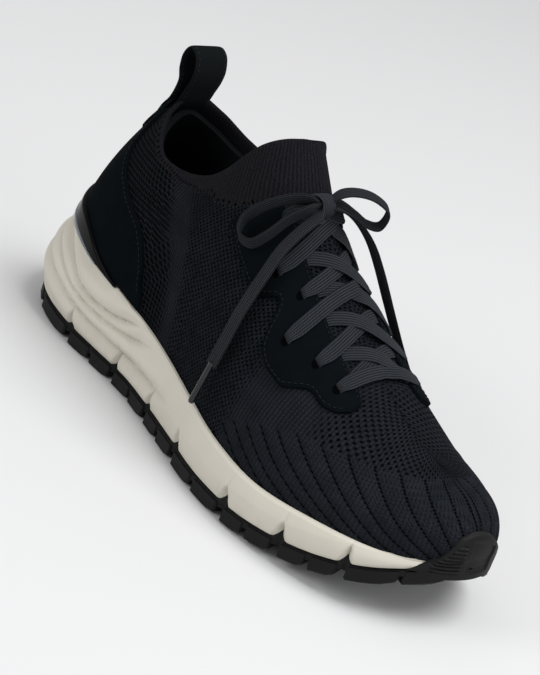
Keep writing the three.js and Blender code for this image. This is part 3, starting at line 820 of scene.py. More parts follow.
# Outlines of the suede as (station, share of the way up).
HEEL_PATCH_START = 8.4
HEEL_PATCH_EDGE = [
    (8.4, 0.13), (8.55, 0.18), (8.75, 0.32), (9.0, 0.44), (9.35, 0.57), (9.7, 0.64), (10.1, 0.70),
    (10.5, 0.725), (10.8, 0.76), (11.05, 0.84), (11.35, 0.95), (12, 0.96),
]
EYESTAY_ENDS = (3.5, 7.1)
EYESTAY_EDGE = [
    (3.5, 0.7), (3.62, 0.62), (3.85, 0.575), (4.15, 0.575), (4.35, 0.5), (4.5, 0.45), (4.9, 0.43),
    (5.15, 0.455), (5.3, 0.54), (5.42, 0.615), (5.55, 0.605), (5.68, 0.54), (5.85, 0.495), (6.1, 0.485),
    (6.5, 0.475), (7.1, 0.475),
]
EYESTAY_INNER = [
    (3.5, 0.76), (3.7, 0.8), (5.5, 0.81), (6.2, 0.8), (6.45, 0.76), (6.7, 0.65), (6.95, 0.54), (7.1, 0.5),
]


def rib_phase(w, v):
    """Counts the forefoot ribs back from the toe. They lean back as they climb."""
    lift = v - 0.06
    foot = (w - 0.25 * lift) / (1 + 2.8 * lift)
    return 4.2 * foot - 0.32 * foot**2


def knit_zones(w, v):
    """Shares from 0 to 1 of each kind of knit."""
    not_collar = 1 - smooth(-0.01, 0.01, v - curve_at(COLLAR_EDGE, w))
    past_front = w - curve_at(MESH_FRONT, v)
    side_seed = smooth(4.8, 5.3, w) * (1 - smooth(-0.5, -0.25, past_front))
    tongue_seed = 0.7 * smooth(0.8, 0.84, v) * smooth(3.6, 3.9, w) * (1 - smooth(6.6, 7, w))
    ribs = 1 - smooth(-0.015, 0.015, v - curve_at(RIB_END, w))
    return {
        "ribs": ribs,
        "collar": 1 - not_collar,
        "mesh": smooth(-0.15, 0.3, past_front) * not_collar,
        "seed": np.maximum(side_seed, tongue_seed) * not_collar,
        "vamp": (1 - ribs) * (1 - smooth(3.3, 4.0, w)) * not_collar,
    }


def knit_lines(w, v, base, climb):
    """The rib count, millimetres from the patch's seam and from the collar's edge, and round the ankle."""
    return {
        "rib": rib_phase(w, v),
        "seam": (w - curve_at(PATCH_SEAM, v)) * STATION_MM,
        "edge": (v - curve_at(COLLAR_EDGE, w)) * climb[:, -1:],
        "turn": np.arctan2(base[..., 1], base[..., 0] - ANKLE_X) * COLLAR_RADIUS,
    }


def knit_relief(s, v, ribs, rib):
    """How far the knit stands proud: its ribs, slight waves, and a rolled edge at the collar."""
    valley = 1 - smooth(0.0, 0.16, np.abs((rib + 0.5) % 1 - 0.5))
    crown = 0.5 + 0.5 * np.cos(2 * np.pi * (rib + 0.5))
    waves = 0.18 * np.sin(1.7 * s + 9 * v) * np.sin(14 * v - 0.8 * s)
    return ribs * (0.35 * crown - 0.55 * valley) + waves - 0.6 * behind_tongue(fold(s)) * smooth(0.97, 1, v)


def behind_tongue(w):
    return smooth(TONGUE, TONGUE + 0.4, w)


def thinned(w, v):
    """Share of the cloth's thickness left. It thins at the tongue's front corner, where both sides meet."""
    return 1 - 0.75 * np.exp(-(((w - TONGUE - 0.1) / 0.45) ** 2)) * smooth(0.8, 1, v)


def knit_map(base, climb, inner):
    """Millimetres round the upper and up it, over the lip and down inside."""
    around = arc_lengths(base[:, 50:51], 0)[:, 0]
    around = around - around[len(around) // 2]
    around = np.append(around, around[-1] + around[1] - around[0])
    edge = climb[:, -1:]
    tall = np.concatenate([climb, edge + KNIT / 2, edge + KNIT + arc_lengths(inner, 1)], 1)
    tall = np.pad(tall, ((0, 1), (0, 1)), mode="wrap")
    tall[:, -1] = tall[:, -2] + KNIT
    return np.stack([np.broadcast_to(around[:, None], tall.shape), tall], -1)


def knit_upper():
    around = np.linspace(-HEEL, HEEL, 721)[:-1]
    s, v = np.meshgrid(around, np.linspace(0, 1, 121), indexing="ij")
    w = fold(s)
    base = skin_base(s, v)
    climb = arc_lengths(base, 1)
    zones = knit_zones(w, v)
    lines = knit_lines(w, v, base, climb)
    outer = skin(s, v, knit_relief(s, v, zones["ribs"], lines["rib"]))
    lip = skin(s[:, :1], v[:, -1:], -KNIT / 2 * thinned(w[:, :1], v[:, -1:]))
    lip[..., 2] += 0.9 * behind_tongue(w)[:, :1]
    s_in, v_in = np.meshgrid(around, np.linspace(1, 0, 25), indexing="ij")
    inner = skin(s_in, v_in, -KNIT * thinned(fold(s_in), v_in))
    points = np.concatenate([outer, lip, inner], 1)

    # Over the instep's ridge both sides meet, so there is no lip there.
    on_ridge = fold(np.append(around, around[0])) <= TONGUE + 1e-6
    skip = np.zeros(points.shape[:2], bool)
    top_row = outer.shape[1] - 1
    skip[:, top_row : top_row + 2] = (on_ridge[:-1] & on_ridge[1:])[:, None]
    inside = points.shape[1] - outer.shape[1]
    on_outside = {**zones, **lines}
    values = {name: np.pad(grid, ((0, 0), (0, inside)), mode="edge") for name, grid in on_outside.items()}
    weave = knit_map(base, climb, inner)
    mesh = grid_mesh("knit", points, sharp=70, joined=True, skip=skip, weave=weave, values=values)
    add_piece("knit_upper_cloth", mesh, "knit", ["knit_upper"])


def metric(s, v, step=0.004):
    """Millimetres per station and per unit of v at a point of the skin."""
    along = np.linalg.norm(skin_base(s + step, v) - skin_base(s - step, v), axis=-1) / (2 * step)
    low, high = np.maximum(v - step, 0), np.minimum(v + step, 1)
    climb = np.linalg.norm(skin_base(s, high) - skin_base(s, low), axis=-1) / (high - low)
    return along, climb


def panel_mesh(columns, low, high, inner, outer, rows, rounding=0.9, stitched=True):
    """A sheet on the skin between two lines, with rolled edges and a sunk stitching line beside them.
    inner and outer are the heights of its two faces over the skin."""
    share = 0.5 - 0.5 * np.cos(np.linspace(0, np.pi, rows))
    s, t = np.meshgrid(columns, share, indexing="ij")
    v = mix(low(s), high(s), t)
    along, climb = metric(s, v)
    tall = (high(s) - low(s)) * climb
    to_edge = np.minimum(np.minimum(t, 1 - t) * tall, np.minimum(s - columns[0], columns[-1] - s) * along)
    rise = np.sqrt(1 - (1 - np.clip(to_edge / rounding, 0, 1)) ** 2)
    sunk = 0.3 * np.exp(-(((to_edge - STITCH_INSET) / 0.45) ** 2)) if stitched else 0
    top = skin(s, v, inner + (outer - inner) * rise - sunk)
    foot = skin(s[:, ::-1], v[:, ::-1], np.full_like(v, inner))
    return grid_mesh("panel", np.concatenate([top, foot], 1), sharp=75)


def stitch_run(s, v, height):
    """Thread stitches along a line of the skin."""
    line = skin(s, v, np.full_like(s, height))
    normal = skin_normal(s, v)
    walked = arc_lengths(line, 0)
    taper = np.array([0.25, 0.85, 1, 0.85, 0.25])[:, None, None]
    angle = np.linspace(0, 2 * np.pi, 7)[None, :-1, None]
    stitches = []
    for start in np.arange(STITCH["pitch"] / 2, walked[-1] - STITCH["length"], STITCH["pitch"]):
        at = start + STITCH["length"] * np.array([0, 0.12, 0.5, 0.88, 1])
        spot, up = (
            np.stack([np.interp(at, walked, grid[:, k]) for k in range(3)], -1) for grid in (line, normal)
        )
        across = unit(np.cross(up, np.gradient(spot, axis=0)))
        ring = across[:, None] * np.cos(angle) + up[:, None] * np.sin(angle) * 0.8
        stitches.append(grid_mesh("stitch", spot[:, None] + ring * STITCH["radius"] * taper, sharp=80))
    return stitches


def inset_line(s, v, inset):
    """A line of the skin moved sideways, to the left of its direction, by inset millimetres."""
    along, climb = metric(s, v)
    ds, dv = np.gradient(s) * along, np.gradient(v) * climb
    length = np.maximum(np.hypot(ds, dv), 1e-9)
    return s - inset * dv / length / along, v + inset * ds / length / climb


def softened(pairs, reach):
    """The pairs' line with its corners rounded over that many stations."""
    offsets = np.linspace(-reach, reach, 9)
    weights = 1 - (offsets / reach / 1.1) ** 2

    def height(s):
        total = sum(weight * curve_at(pairs, fold(s + offset)) for offset, weight in zip(offsets, weights))
        return total / weights.sum()

    return height


def eyestay(side):
    """The scalloped suede that holds the eyelets. It ends in a point behind the bow."""
    start, end = EYESTAY_ENDS
    columns = columns_between(start, end, 0.03)
    low, high = softened(EYESTAY_EDGE, 0.09), softened(EYESTAY_INNER, 0.12)
    if side == "medial":
        columns = AROUND - columns[::-1]
    mesh = panel_mesh(columns, low, high, SEWN_GAP - 0.5, SEWN_GAP + SUEDE, 26)
    add_piece(f"eyestay_{side}_suede", mesh, "suede", [f"eyestay_{side}"])
    runs = []
    for edge, inset, last in ((low, STITCH_INSET, end - 0.06), (high, -STITCH_INSET, end - 0.6)):
        line = columns_between(start + 0.06, last, 0.02)
        s, v = inset_line(line, edge(line), inset)
        runs += stitch_run(s if side == "lateral" else AROUND - s, v, SEWN_GAP + SUEDE)
    add_piece(f"eyestay_{side}_stitches", join_meshes("stitches", runs), "thread")


def heel_patch():
    start = HEEL_PATCH_START
    high = softened(HEEL_PATCH_EDGE, 0.12)
    columns = columns_between(start, AROUND - start, 0.04)
    mesh = panel_mesh(columns, lambda s: above_rim(s, 0.6), high, 0.0, CLEARANCE + SUEDE, 34)
    add_piece("heel_patch_suede", mesh, "suede", ["heel_patch"])
    line = columns_between(start + 0.1, AROUND - start - 0.1, 0.02)
    s, v = inset_line(line, high(line), -STITCH_INSET)
    runs = stitch_run(s, v, CLEARANCE + SUEDE)
    add_piece("heel_patch_stitches", join_meshes("stitches", runs), "thread")


def rim_band(start, full, low, high, climb, faces, rows, rounding):
    """A band round the heel along the foam's rim, from low to high above it.
    It grows taller by climb from its ends to the station full."""

    def top(s):
        return above_rim(s, high + climb * smooth(start, full, fold(s)))

    columns = columns_between(start, AROUND - start, 0.04)
    return panel_mesh(columns, lambda s: above_rim(s, low), top, *faces, rows, rounding, stitched=False)


def heel_clip():
    base = CLEARANCE + SUEDE
    shell = rim_band(9.1, 10.6, -0.5, 1.4, 9, (base, base + 1.6), 24, 1.4)
    add_piece("heel_clip_shell", shell, "gloss", ["heel_clip"])
    # The clear edge strip is pale clear plastic, and its light colour is also a painted highlight line.
    edge = rim_band(9.7, 11, -0.4, 0.6, 2.2, (base + 1, base + 2.1), 10, 0.8)
    add_piece("heel_clip_edge", edge, "clear")


def heel_lining():
    """The padded cuff inside the heel."""
    start, end = 9.0, 15.0
    s, t = np.meshgrid(columns_between(start, end, 0.05), np.linspace(0, 1, 26), indexing="ij")
    v = mix(v_at_height(s, bed_at(s)[..., 2] + STROBEL + INSOLE + 3.5), 0.93, t)
    puff = 0.8 * np.sin(np.pi * t) ** 0.5 * np.sin(np.pi * (s - start) / (end - start)) ** 0.3
    depth = KNIT + 2 * CLEARANCE + STIFFENER
    face = skin(s, v, -depth - LINING - puff)
    back = skin(s[:, ::-1], v[:, ::-1], np.full_like(v, -depth))
    mesh = grid_mesh("heel_lining", np.concatenate([face, back], 1), sharp=60)
    piece = add_piece("heel_lining_cloth", mesh, "lining", ["heel_lining"])


def insole():
    """The sock liner, with a rolled upper edge."""
    inset = KNIT + 2.4
    share = np.linspace(0, 1, 14)
    s = np.repeat(np.linspace(0, AROUND, 241)[:-1, None], len(share), 1)
    roll = 0.9 * (1 - np.sqrt(1 - (1 - np.clip(share / 0.12, 0, 1)) ** 2))
    top = mix(rail(s, -inset, 0.0), spine(s, -inset, 0.0), share[:, None])
    under = top[:, ::-1].copy()
    bed = bed_at(s)[..., 2]
    top[..., 2] = bed + STROBEL + CLEARANCE + INSOLE - roll
    under[..., 2] = bed + STROBEL + CLEARANCE
    points = np.concatenate([top, under], 1)
    skip = np.zeros(points.shape[:2], bool)
    skip[:, len(share) - 1] = True
    mesh = grid_mesh("insole", points, sharp=60, joined=True, skip=skip)
    piece = add_piece("insole_cloth", mesh, "lining", ["insole"])


# ---------------------------------------------------------------- sole

# Creases of the sole's wall as (station, share of the way up), each with the stations where it fades in.
FLUTES = [
    ([(7.6, 1.15), (8.0, 0.97), (8.3, 0.83), (8.6, 0.72), (9.0, 0.61), (9.5, 0.57), (9.95, 0.63),
      (10.5, 0.79), (10.9, 0.87), (11.4, 0.90), (12, 0.91)], (7.9, 8.6)),
    ([(7.1, 0.96), (7.5, 0.85), (8.0, 0.68), (8.4, 0.57), (8.95, 0.48), (9.5, 0.45), (10.05, 0.50),
      (10.5, 0.60), (10.9, 0.68), (11.4, 0.72), (12, 0.73)], (7.3, 8.4)),
    ([(5.9, 0.52), (6.5, 0.43), (7.6, 0.31), (8.5, 0.28), (9.3, 0.28), (10, 0.34), (10.5, 0.40),
      (10.9, 0.47), (11.4, 0.52), (12, 0.53)], (6.1, 7.4)),
]
BUMPER_FOOT_ENDS = (-1.5, 1.38)  # stations, negative on the medial side
BUMPER_SEAM_ENDS = (-1.15, 0.98)
BUMPER_SHARE = np.linspace(0, 1, 150)  # the way across the cap, from its medial end to its lateral end
BUMPER_CREST = [
    (-1.15, 0.04), (-0.9, 0.12), (-0.6, 0.23), (-0.3, 0.32), (0, 0.35),
    (0.2, 0.345), (0.55, 0.29), (0.7, 0.16), (0.85, 0.08), (0.98, 0.03),
]


def to_groove(s):
    """Stations from the nearest cut across the sole."""
    return np.min([np.abs(fold(s) - at) for at in GROOVES], 0)


def groove_depth(s, height):
    """How deep the cuts of the tread run up into the foam."""
    distance = to_groove(s)
    half_width = mix(0.13, 0.035, np.clip(height / 9, 0, 1))
    notch = 3.0 * np.maximum(1 - distance / half_width, 0) * (1 - smooth(5, 10, height))
    crease = 0.5 * np.exp(-((distance / 0.02) ** 2)) * (1 - smooth(8, 19, height))
    return notch + crease


def flute_depth(s, t, tall):
    """A sharp crease, the hollow round it and the swelling beside it, for each flute."""
    depth = np.zeros_like(t)
    for line, (start, full) in FLUTES:
        distance = np.hypot((t - softened(line, 0.25)(s)) * tall, 0.15)
        crease = 3.0 * np.exp(-distance / 0.8)
        hollow = 1.6 * np.exp(-((distance / 3.3) ** 2))
        swelling = 0.8 * np.exp(-(((distance - 6) / 3) ** 2))
        depth = depth + smooth(start, full, fold(s)) * (crease + hollow - swelling)
    return depth


def wall_foot(s):
    """Height of the wall's lower edge."""
    return sole_rail(s, wall_offset(s, 0.0), SOLE_BASE)[..., 2]


def wall_at(s, t, outset=0.0):
    """A point of the sole's wall before it is moulded, t of the way up from the tread to the rim."""
    return rail(s, wall_offset(s, t) + outset, mix(wall_foot(s), rim_at(s), t))


def wall_surface(s, t):
    tall = rim_at(s) - wall_foot(s)
    height = t * tall
    facet = np.maximum(9.5 - height, 0) * 0.14 * (1 - smooth(9.8, 11, fold(s)))
    edge = 0.9 * (1 - smooth(0, 0.05, 1 - t)) + 0.7 * (1 - smooth(0, 0.04, t))
    return wall_at(s, t, -groove_depth(s, height) - flute_depth(s, t, tall) - facet - edge)


def sole_columns():
    """Stations round the sole, closer together at the cuts."""
    near = np.array([0, 0.012, 0.024, 0.04, 0.06, 0.09, 0.13])
    extra = [at + sign * step for at in GROOVES for step in near for sign in (-1, 1)]
    half = np.unique(np.round(np.concatenate([np.linspace(0, HEEL, 261), extra]), 4))
    half = half[np.concatenate([[True], np.diff(half) > 0.004])]
    return np.concatenate([half, AROUND - half[-2:0:-1]])


def midsole():
    """A foam cup: its wall outside, the bed for the upper inside, and a flat underside."""
    columns = sole_columns()
    rise = np.concatenate([[0, 0.015, 0.035], np.linspace(0.06, 0.94, 40), [0.965, 0.985, 1]])
    wall = wall_surface(*np.meshgrid(columns, rise, indexing="ij"))
    rim_v = v_at_height(columns, rim_at(columns))
    floor = bed_at(columns)[:, 2] - CLEARANCE
    inside = [skin(columns, rim_v * share, np.full_like(columns, CLEARANCE)) for share in (1, 0.5, 0)]
    inside += [rail(columns, CLEARANCE, floor), spine(columns, CLEARANCE, floor)]
    inside.append(sole_spine(columns, wall_offset(columns, 0.0), SOLE_BASE))
    points = np.concatenate([wall, np.stack(inside, 1)], 1)
    skip = np.zeros(points.shape[:2], bool)
    skip[:, -2] = True
    mesh = grid_mesh("midsole", points, sharp=42, joined=True, skip=skip)
    add_piece("midsole_foam", mesh, "foam", ["midsole"])


def web_mesh():
    """The rubber sheet that joins the lugs. It follows the cuts up into the foam."""
    columns = sole_columns()
    in_groove = np.maximum(1 - to_groove(columns) / 0.1, 0)
    edge = wall_offset(columns, 0.0) - 0.6 - 1.6 * in_groove
    rings = [
        sole_rail(columns, edge - 1.2, SOLE_BASE + 0.1 + 4.2 * in_groove),
        sole_spine(columns, edge, SOLE_BASE),
        sole_spine(columns, edge, SOLE_BASE - WEB),
        sole_rail(columns, edge, SOLE_BASE - WEB),
        sole_rail(columns, edge, SOLE_BASE - 0.4),
    ]
    points = np.stack(rings, 1)
    skip = np.zeros(points.shape[:2], bool)
    skip[:, 1] = True
    return grid_mesh("web", points, sharp=30, joined=True, skip=skip)


def lug_mesh(start, end, inset, outset=None, chamfer=0.0):
    """A block of tread with bevelled edges, out to outset, or else to the wall's foot.
    Its end nearer the toe is chamfered."""
    bevel = 0.7
    share = np.array([0, 0.04, 0.3, 0.5, 0.7, 0.96, 1])
    s = mix(start, end, share)
    shrink = np.where((share == 0) | (share == 1), bevel, 0)
    foot = chamfer * (1 - smooth(0, 0.35, share)) + shrink
    outer = (wall_offset(s, 0.0) + 0.1 if outset is None else np.full_like(s, outset)) - shrink
    inner = np.full_like(s, inset) + shrink
    root = LUG_DEPTH + 2.6
    section = [
        (outer, root), (outer, foot + bevel), (outer - bevel, foot),
        (inner + bevel, foot), (inner, foot + bevel), (inner, root),
    ]
    edges = [sole_rail(s, offset, height) for offset, height in section]
    return grid_mesh("lug", np.stack(edges, 1), sharp=30)


def both_sides(start, end):
    """The same stretch on the lateral and on the medial side."""
    return (start, end), (AROUND - start, AROUND - end)


def outsole():
    """Between two cuts each side has two edge lugs, and one centre lug further in."""
    ends = [0.5, *GROOVES, HEEL - 0.25]
    gap = 0.07
    half = CENTRE_LUG["length"] / 2
    meshes = [web_mesh()]
    for before, after in zip(ends, ends[1:]):
        middle = (before + after) / 2
        edge_lugs = both_sides(before + gap, middle - gap / 2) + both_sides(middle + gap / 2, after - gap)
        meshes += [lug_mesh(start, end, -EDGE_LUG_WIDTH, chamfer=1.2) for start, end in edge_lugs]
        width = CENTRE_LUG["width"] * (0.5 if before == ends[0] or after == ends[-1] else 1)
        inset = -CENTRE_LUG["outer"] - width
        centre_lugs = both_sides(middle - half, middle + half)
        meshes += [lug_mesh(start, end, inset, -CENTRE_LUG["outer"]) for start, end in centre_lugs]
    add_piece("outsole_rubber", join_meshes("outsole", meshes), "rubber", ["outsole"])


def bumper_relief(s, z, fade):
    """Level ridges on the lateral side and a plain recessed panel in front."""
    ridges = 0.5 * smooth(0.30, 0.36, s) * (1 - smooth(0.95, 1.05, s)) * np.sin(2 * np.pi * z / 1.7)
    panel = smooth(-0.60, -0.56, s) * (1 - smooth(0.16, 0.20, s))
    return (ridges - 0.9 * panel) * fade


def bumper_columns(climb):
    """Stations across the cap. Its ends close in as it climbs from its foot to the seam."""
    (foot_start, foot_end), (seam_start, seam_end) = BUMPER_FOOT_ENDS, BUMPER_SEAM_ENDS
    return mix(mix(foot_start, seam_start, climb), mix(foot_end, seam_end, climb), BUMPER_SHARE)


def bumper_thickness():
    """1 along the cap's middle, falling to 0 at both ends."""
    return np.minimum(smooth(0, 0.05, BUMPER_SHARE), smooth(0, 0.05, 1 - BUMPER_SHARE))


def bumper_foot(s, inset=0.0):
    """The cap's lower edge: down over the tread in front, up at the sides."""
    height = mix(2.4, SOLE_BASE, smooth(0.8, 1.3, np.abs(s)))
    return sole_rail(s, wall_offset(s, 0.0) - 0.4 + 0.7 * bumper_thickness() - inset, height)


def reach_of(s, points):
    """How far points stand outside the bed."""
    return np.sum((points - bed_at(s))[:, :2] * outward_at(s), -1)


def bumper_wall(climb):
    """A row of the cap over the foam."""
    s = bumper_columns(climb)
    low = bumper_foot(s)
    seam = skin(s, above_rim(s, 1.2), 0.5 + 1.9 * bumper_thickness())
    z = mix(low[:, 2], seam[:, 2], climb)
    out = mix(reach_of(s, low), reach_of(s, seam), climb)
    return rail(s, out + bumper_relief(s, z, smooth(0.3, 0.45, climb)), z)


def bumper_over_knit(s, lip, crest, climb):
    """A row of the cap over the knit, from the seam to the crest."""
    v = mix(lip, crest, climb)
    relief = bumper_relief(s, skin_base(s, v)[:, 2], 1 - smooth(0.6, 0.75, climb))
    height = 2.4 - 0.4 * climb - 1.4 * smooth(0.88, 1, climb)
    return skin(s, v, 0.5 + (height - 0.5) * bumper_thickness() + relief)


def toe_bumper():
    """A cap over the toe tip, from the tread up the foam and over the knit. Its ends lean forward."""
    s = bumper_columns(1.0)
    lip = above_rim(s, 1.2)
    crest = np.maximum(curve_at(BUMPER_CREST, s), lip + 0.015)
    crest = np.convolve(np.pad(crest, 4, mode="edge"), np.full(9, 1 / 9), mode="valid")
    rows = [bumper_foot(bumper_columns(0), 3.0)]
    rows += [bumper_wall(climb) for climb in np.linspace(0, 1, 36)]
    rows += [bumper_over_knit(s, lip, crest, climb) for climb in np.linspace(0.05, 1, 22)]
    rows += [skin(s, mix(lip, crest, climb), np.full_like(s, 0.2)) for climb in (1, 0.5, 0)]
    rows += [
        wall_at(bumper_columns(climb), np.full_like(s, climb), 0.2 - 3 * (1 - climb)) for climb in (1, 0.5, 0)
    ]
    mesh = grid_mesh("bumper", np.stack(rows, 1), sharp=50)
    add_piece("toe_bumper_rubber", mesh, "rubber", ["toe_bumper"])


# ---------------------------------------------------------------- finger loop

# The loop's middle line over the heel, from its outer leg to its inner one.
TAB_OVER = [
    (-107.4, 0, 131), (-109.6, 0, 137), (-110, 0, 143.5), (-106.8, 0, 148.4),
    (-101.6, 0, 146.6), (-99, 0, 140.5), (-99.4, 0, 134.5), (-101.2, 0, 129),
]


def pull_tab():
    """The finger loop. Both legs reach down past the collar."""
    outside = [skin_point(HEEL, v, height) for v, height in ((0.80, -1.0), (0.88, 0.8), (0.95, 1.2))]
    inside = [skin_point(HEEL, v, -KNIT - 1.1) for v in (0.97, 0.9, 0.82)]
    points = np.array([*outside, *TAB_OVER, *inside], float)
    points[:, 1] = 0
    path = line_at(points, np.linspace(0, len(points) - 1, 140))
    mesh = strap_mesh("tab", path, (0, 1, 0), TAB["width"], TAB["thick"], edge=8)
    piece = add_piece("pull_tab_webbing", mesh, "webbing", ["pull_tab"], body=None)
    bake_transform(piece)


def tab_anchor():
    """The patch that the loop's outer leg is sewn under."""
    base = CLEARANCE + SUEDE
    columns = columns_between(HEEL - 0.6, HEEL + 0.6, 0.03)
    low, high = (lambda s: np.full_like(s, 0.78)), (lambda s: np.full_like(s, 0.975))
    mesh = panel_mesh(columns, low, high, base, base + 1.2, 20, rounding=2.5)
    add_piece("pull_tab_anchor_suede", mesh, "suede", ["pull_tab_anchor"])


# ---------------------------------------------------------------- laces

HIDDEN_START = 0.014  # how far inside its eyelet a run starts, as a share of the way up
HIDDEN_END = -0.30  # where a run ends under the far suede
INSTEP_MM = 95.0  # about how long the skin is from the bed to the ridge
RUN_LOW, RUN_HIGH = 0.95, 2.4  # height over the tongue of the lower and the upper of two crossing runs
KNOT_START = 0.2  # how far from the knot's centre the bow's laces start, as a share of the first step

# Middle lines of the bow's four laces, and the direction of each one's width.
CORDS = {
    "lace_loop_lateral": [
        (-0.5, -13, 127.5), (-4.5, -23, 124.5), (-8.5, -30, 118.5), (-11.5, -33.5, 111), (-9, -35.5, 105),
        (-3, -33, 104), (0, -27.5, 110), (1.5, -20.5, 118), (4, -13.5, 124),
    ],
    "lace_loop_medial": [
        (4, 3.5, 132.5), (7, 10.5, 134.5), (10.5, 18, 133.5), (14, 24.5, 129),
        (13, 24, 121), (9.5, 19.5, 120), (6, 14, 123), (2.5, 6, 126.5),
    ],
    "lace_end_lateral": [
        (7.5, -10, 122.5), (9, -18, 117), (10, -26.5, 108), (11.5, -33, 96.5),
        (13, -40.5, 80), (14, -44.5, 66.5), (14.5, -48, 53),
    ],
    "lace_end_medial": [
        (7, 3, 126), (11, 11.5, 122), (16, 18.5, 114.5), (22, 23.5, 104.5),
        (31, 29, 89.5), (38, 35.5, 75), (43, 42, 63),
    ],
}
WIDTH_DIRECTIONS = {
    "lace_loop_lateral": (0.12, -0.63, 0.9),
    "lace_loop_medial": (0.87, -0.45, -0.19),
    "lace_end_lateral": (1, 0, 0.1),
    "lace_end_medial": (1, 0, 0.1),
}


def instep(station, q, height):
    """Across the instep: q runs from the lateral side (negative) over the ridge to the medial side."""
    s = np.where(q < 0, station, AROUND - station)
    return skin(s, 1 - np.abs(q), height)


def instep_point(station, q, height):
    return instep(np.array([station]), np.array([q]), np.array([height]))[0]


def lace_over(s, q, height, width=LACE["width"], thick=LACE["thick"]):
    """A piece of lace on the instep, along s and q."""
    across = instep(s + 0.05, q, 0 * q) - instep(s - 0.05, q, 0 * q)
    return strap_mesh("run", instep(s, q, height), across, width, thick, ribs=LACE["ribs"])


def lace_from_eyelets(s, q, height, walked):
    """A piece of lace that comes up out of its eyelet, pinched narrow and thick. walked starts there."""
    height = mix(-0.8, height, smooth(0, 3.5, walked))
    return lace_over(s, q, height, pinched(walked, LACE["width"], 0.66), pinched(walked, LACE["thick"], 1.5))


def pinched(walked, full, share):
    """A size that starts at a share of its full value."""
    return full * mix(share, 1, smooth(0.5, 9, walked))


def run_heights(q, middle):
    """Height of a run of lace over the skin: on its own suede, over the tongue, then under the far suede."""
    marks = [(-0.34, -0.6), (-0.24, 0.0), (-0.18, 0.85), (-0.12, 0.95), (-0.06, middle), (0.05, middle),
             (0.11, 2.35), (0.2, 2.5), (0.3, 2.55), (0.6, 2.55)]
    reach = np.linspace(-0.03, 0.03, 7)
    return sum(curve_at(marks, q + step) for step in reach) / len(reach)


def crossing_run(eyelet, side, middle):
    """A run from one eyelet over the tongue to under the far suede, one row further up."""
    station, v = EYELETS[eyelet]
    t = np.linspace(0, 1, 120)
    q = mix(1 - v + HIDDEN_START, HIDDEN_END, t)
    s = station + (EYELETS[eyelet + 1][0] - station) * 0.95 * smooth(0.05, 0.95, t)
    walked = t * (1 - v - HIDDEN_END) * INSTEP_MM
    return lace_from_eyelets(s, q * side, run_heights(q, middle), walked)


def buried_run(side, middle):
    """A run that starts under the suede below the straight bar."""
    station = EYELETS[0][0]
    t = np.linspace(0, 1, 110)
    q = mix(0.27, HIDDEN_END, t)
    s = station + (EYELETS[1][0] - station) * 0.95 * smooth(0.02, 0.95, t)
    return lace_over(s, q * side, np.minimum(run_heights(q, middle), run_heights(-q, middle)))


def straight_bar():
    """The lace's middle, straight across between the two front eyelets."""
    station, v = EYELETS[0]
    t = np.linspace(0, 1, 130)
    q = mix(v - 1 - HIDDEN_START, 1 - v + HIDDEN_START, t)
    height = 2.5 - 0.7 * (1 - smooth(0.04, 0.10, np.abs(q)))
    walked = np.minimum(t, 1 - t) * 2 * (1 - v) * INSTEP_MM
    return lace_from_eyelets(station - 0.04 * np.sin(np.pi * t), q, height, walked)


def lace_rows():
    """Each row is a crossing of two runs, and the side that lies on top alternates."""
    rows = [[straight_bar(), buried_run(-1, RUN_LOW), buried_run(1, RUN_HIGH)]]
    for eyelet in range(1, len(EYELETS) - 1):
        lateral, medial = (RUN_HIGH, RUN_LOW) if eyelet % 2 == 0 else (RUN_LOW, RUN_HIGH)
        rows.append([crossing_run(eyelet, -1, lateral), crossing_run(eyelet, 1, medial)])
    for number, meshes in enumerate(rows, 1):
        name = f"lace_row_{number}"
        add_piece(f"{name}_woven", join_meshes("row", meshes), "lace", [name])


def eyelet_hole_shade():
    """Near-black discs at the punched holes that the laces come out of: painted shade inside the holes."""
    discs = []
    angle = np.linspace(0, 2 * np.pi, 25)[:-1, None]
    profile = [(0.1, 0.04), (1.8, 0.04), (2.0, 0.0), (2.0, -0.4), (0.1, -0.4)]  # radius and lift
    for side in (-1, 1):
        for station, v in EYELETS:
            q = 1 - v + 0.002
            centre, ahead, outer = (
                instep_point(station + ds, side * (q + dq), SEWN_GAP + SUEDE)
                for ds, dq in ((0, 0), (0.02, 0), (0, 0.01))
            )
            along, out = unit(ahead - centre), unit(outer - centre)
            normal = unit(np.cross(along, out)) * side
            circle = np.cos(angle) * along + np.sin(angle) * out
            rings = [centre + circle * radius + normal * lift for radius, lift in profile]
            discs.append(grid_mesh("hole_shade", np.stack(rings), sharp=60))
    add_piece("eyelet_hole_shade", join_meshes("eyelets", discs), "hole_shade")


def knot_lead(side, centre):
    """The lace that comes up from a last eyelet into the knot."""
    station, v = EYELETS[-1]
    marks = [
        (1 - v, 0.0, -0.8), (1 - v - 0.04, 0.0, 2.4),
        (0.22, 0.0, 2.6), (0.16, -0.05, 3.0), (0.09, -0.15, 4.2),
    ]
    points = [instep_point(station + ds, side * q, height) for q, ds, height in marks]
    points.append(centre + [0.5, 1.5 * side, -1.5])
    path = line_at(points, np.linspace(0, len(points) - 1, 60))
    across = instep_point(station + 0.05, 0.2 * side, 0) - instep_point(station - 0.05, 0.2 * side, 0)
    width = pinched(arc_lengths(path, 0), LACE["width"], 0.66)
    return strap_mesh("lead", path, across, width, LACE["thick"], ribs=LACE["ribs"])


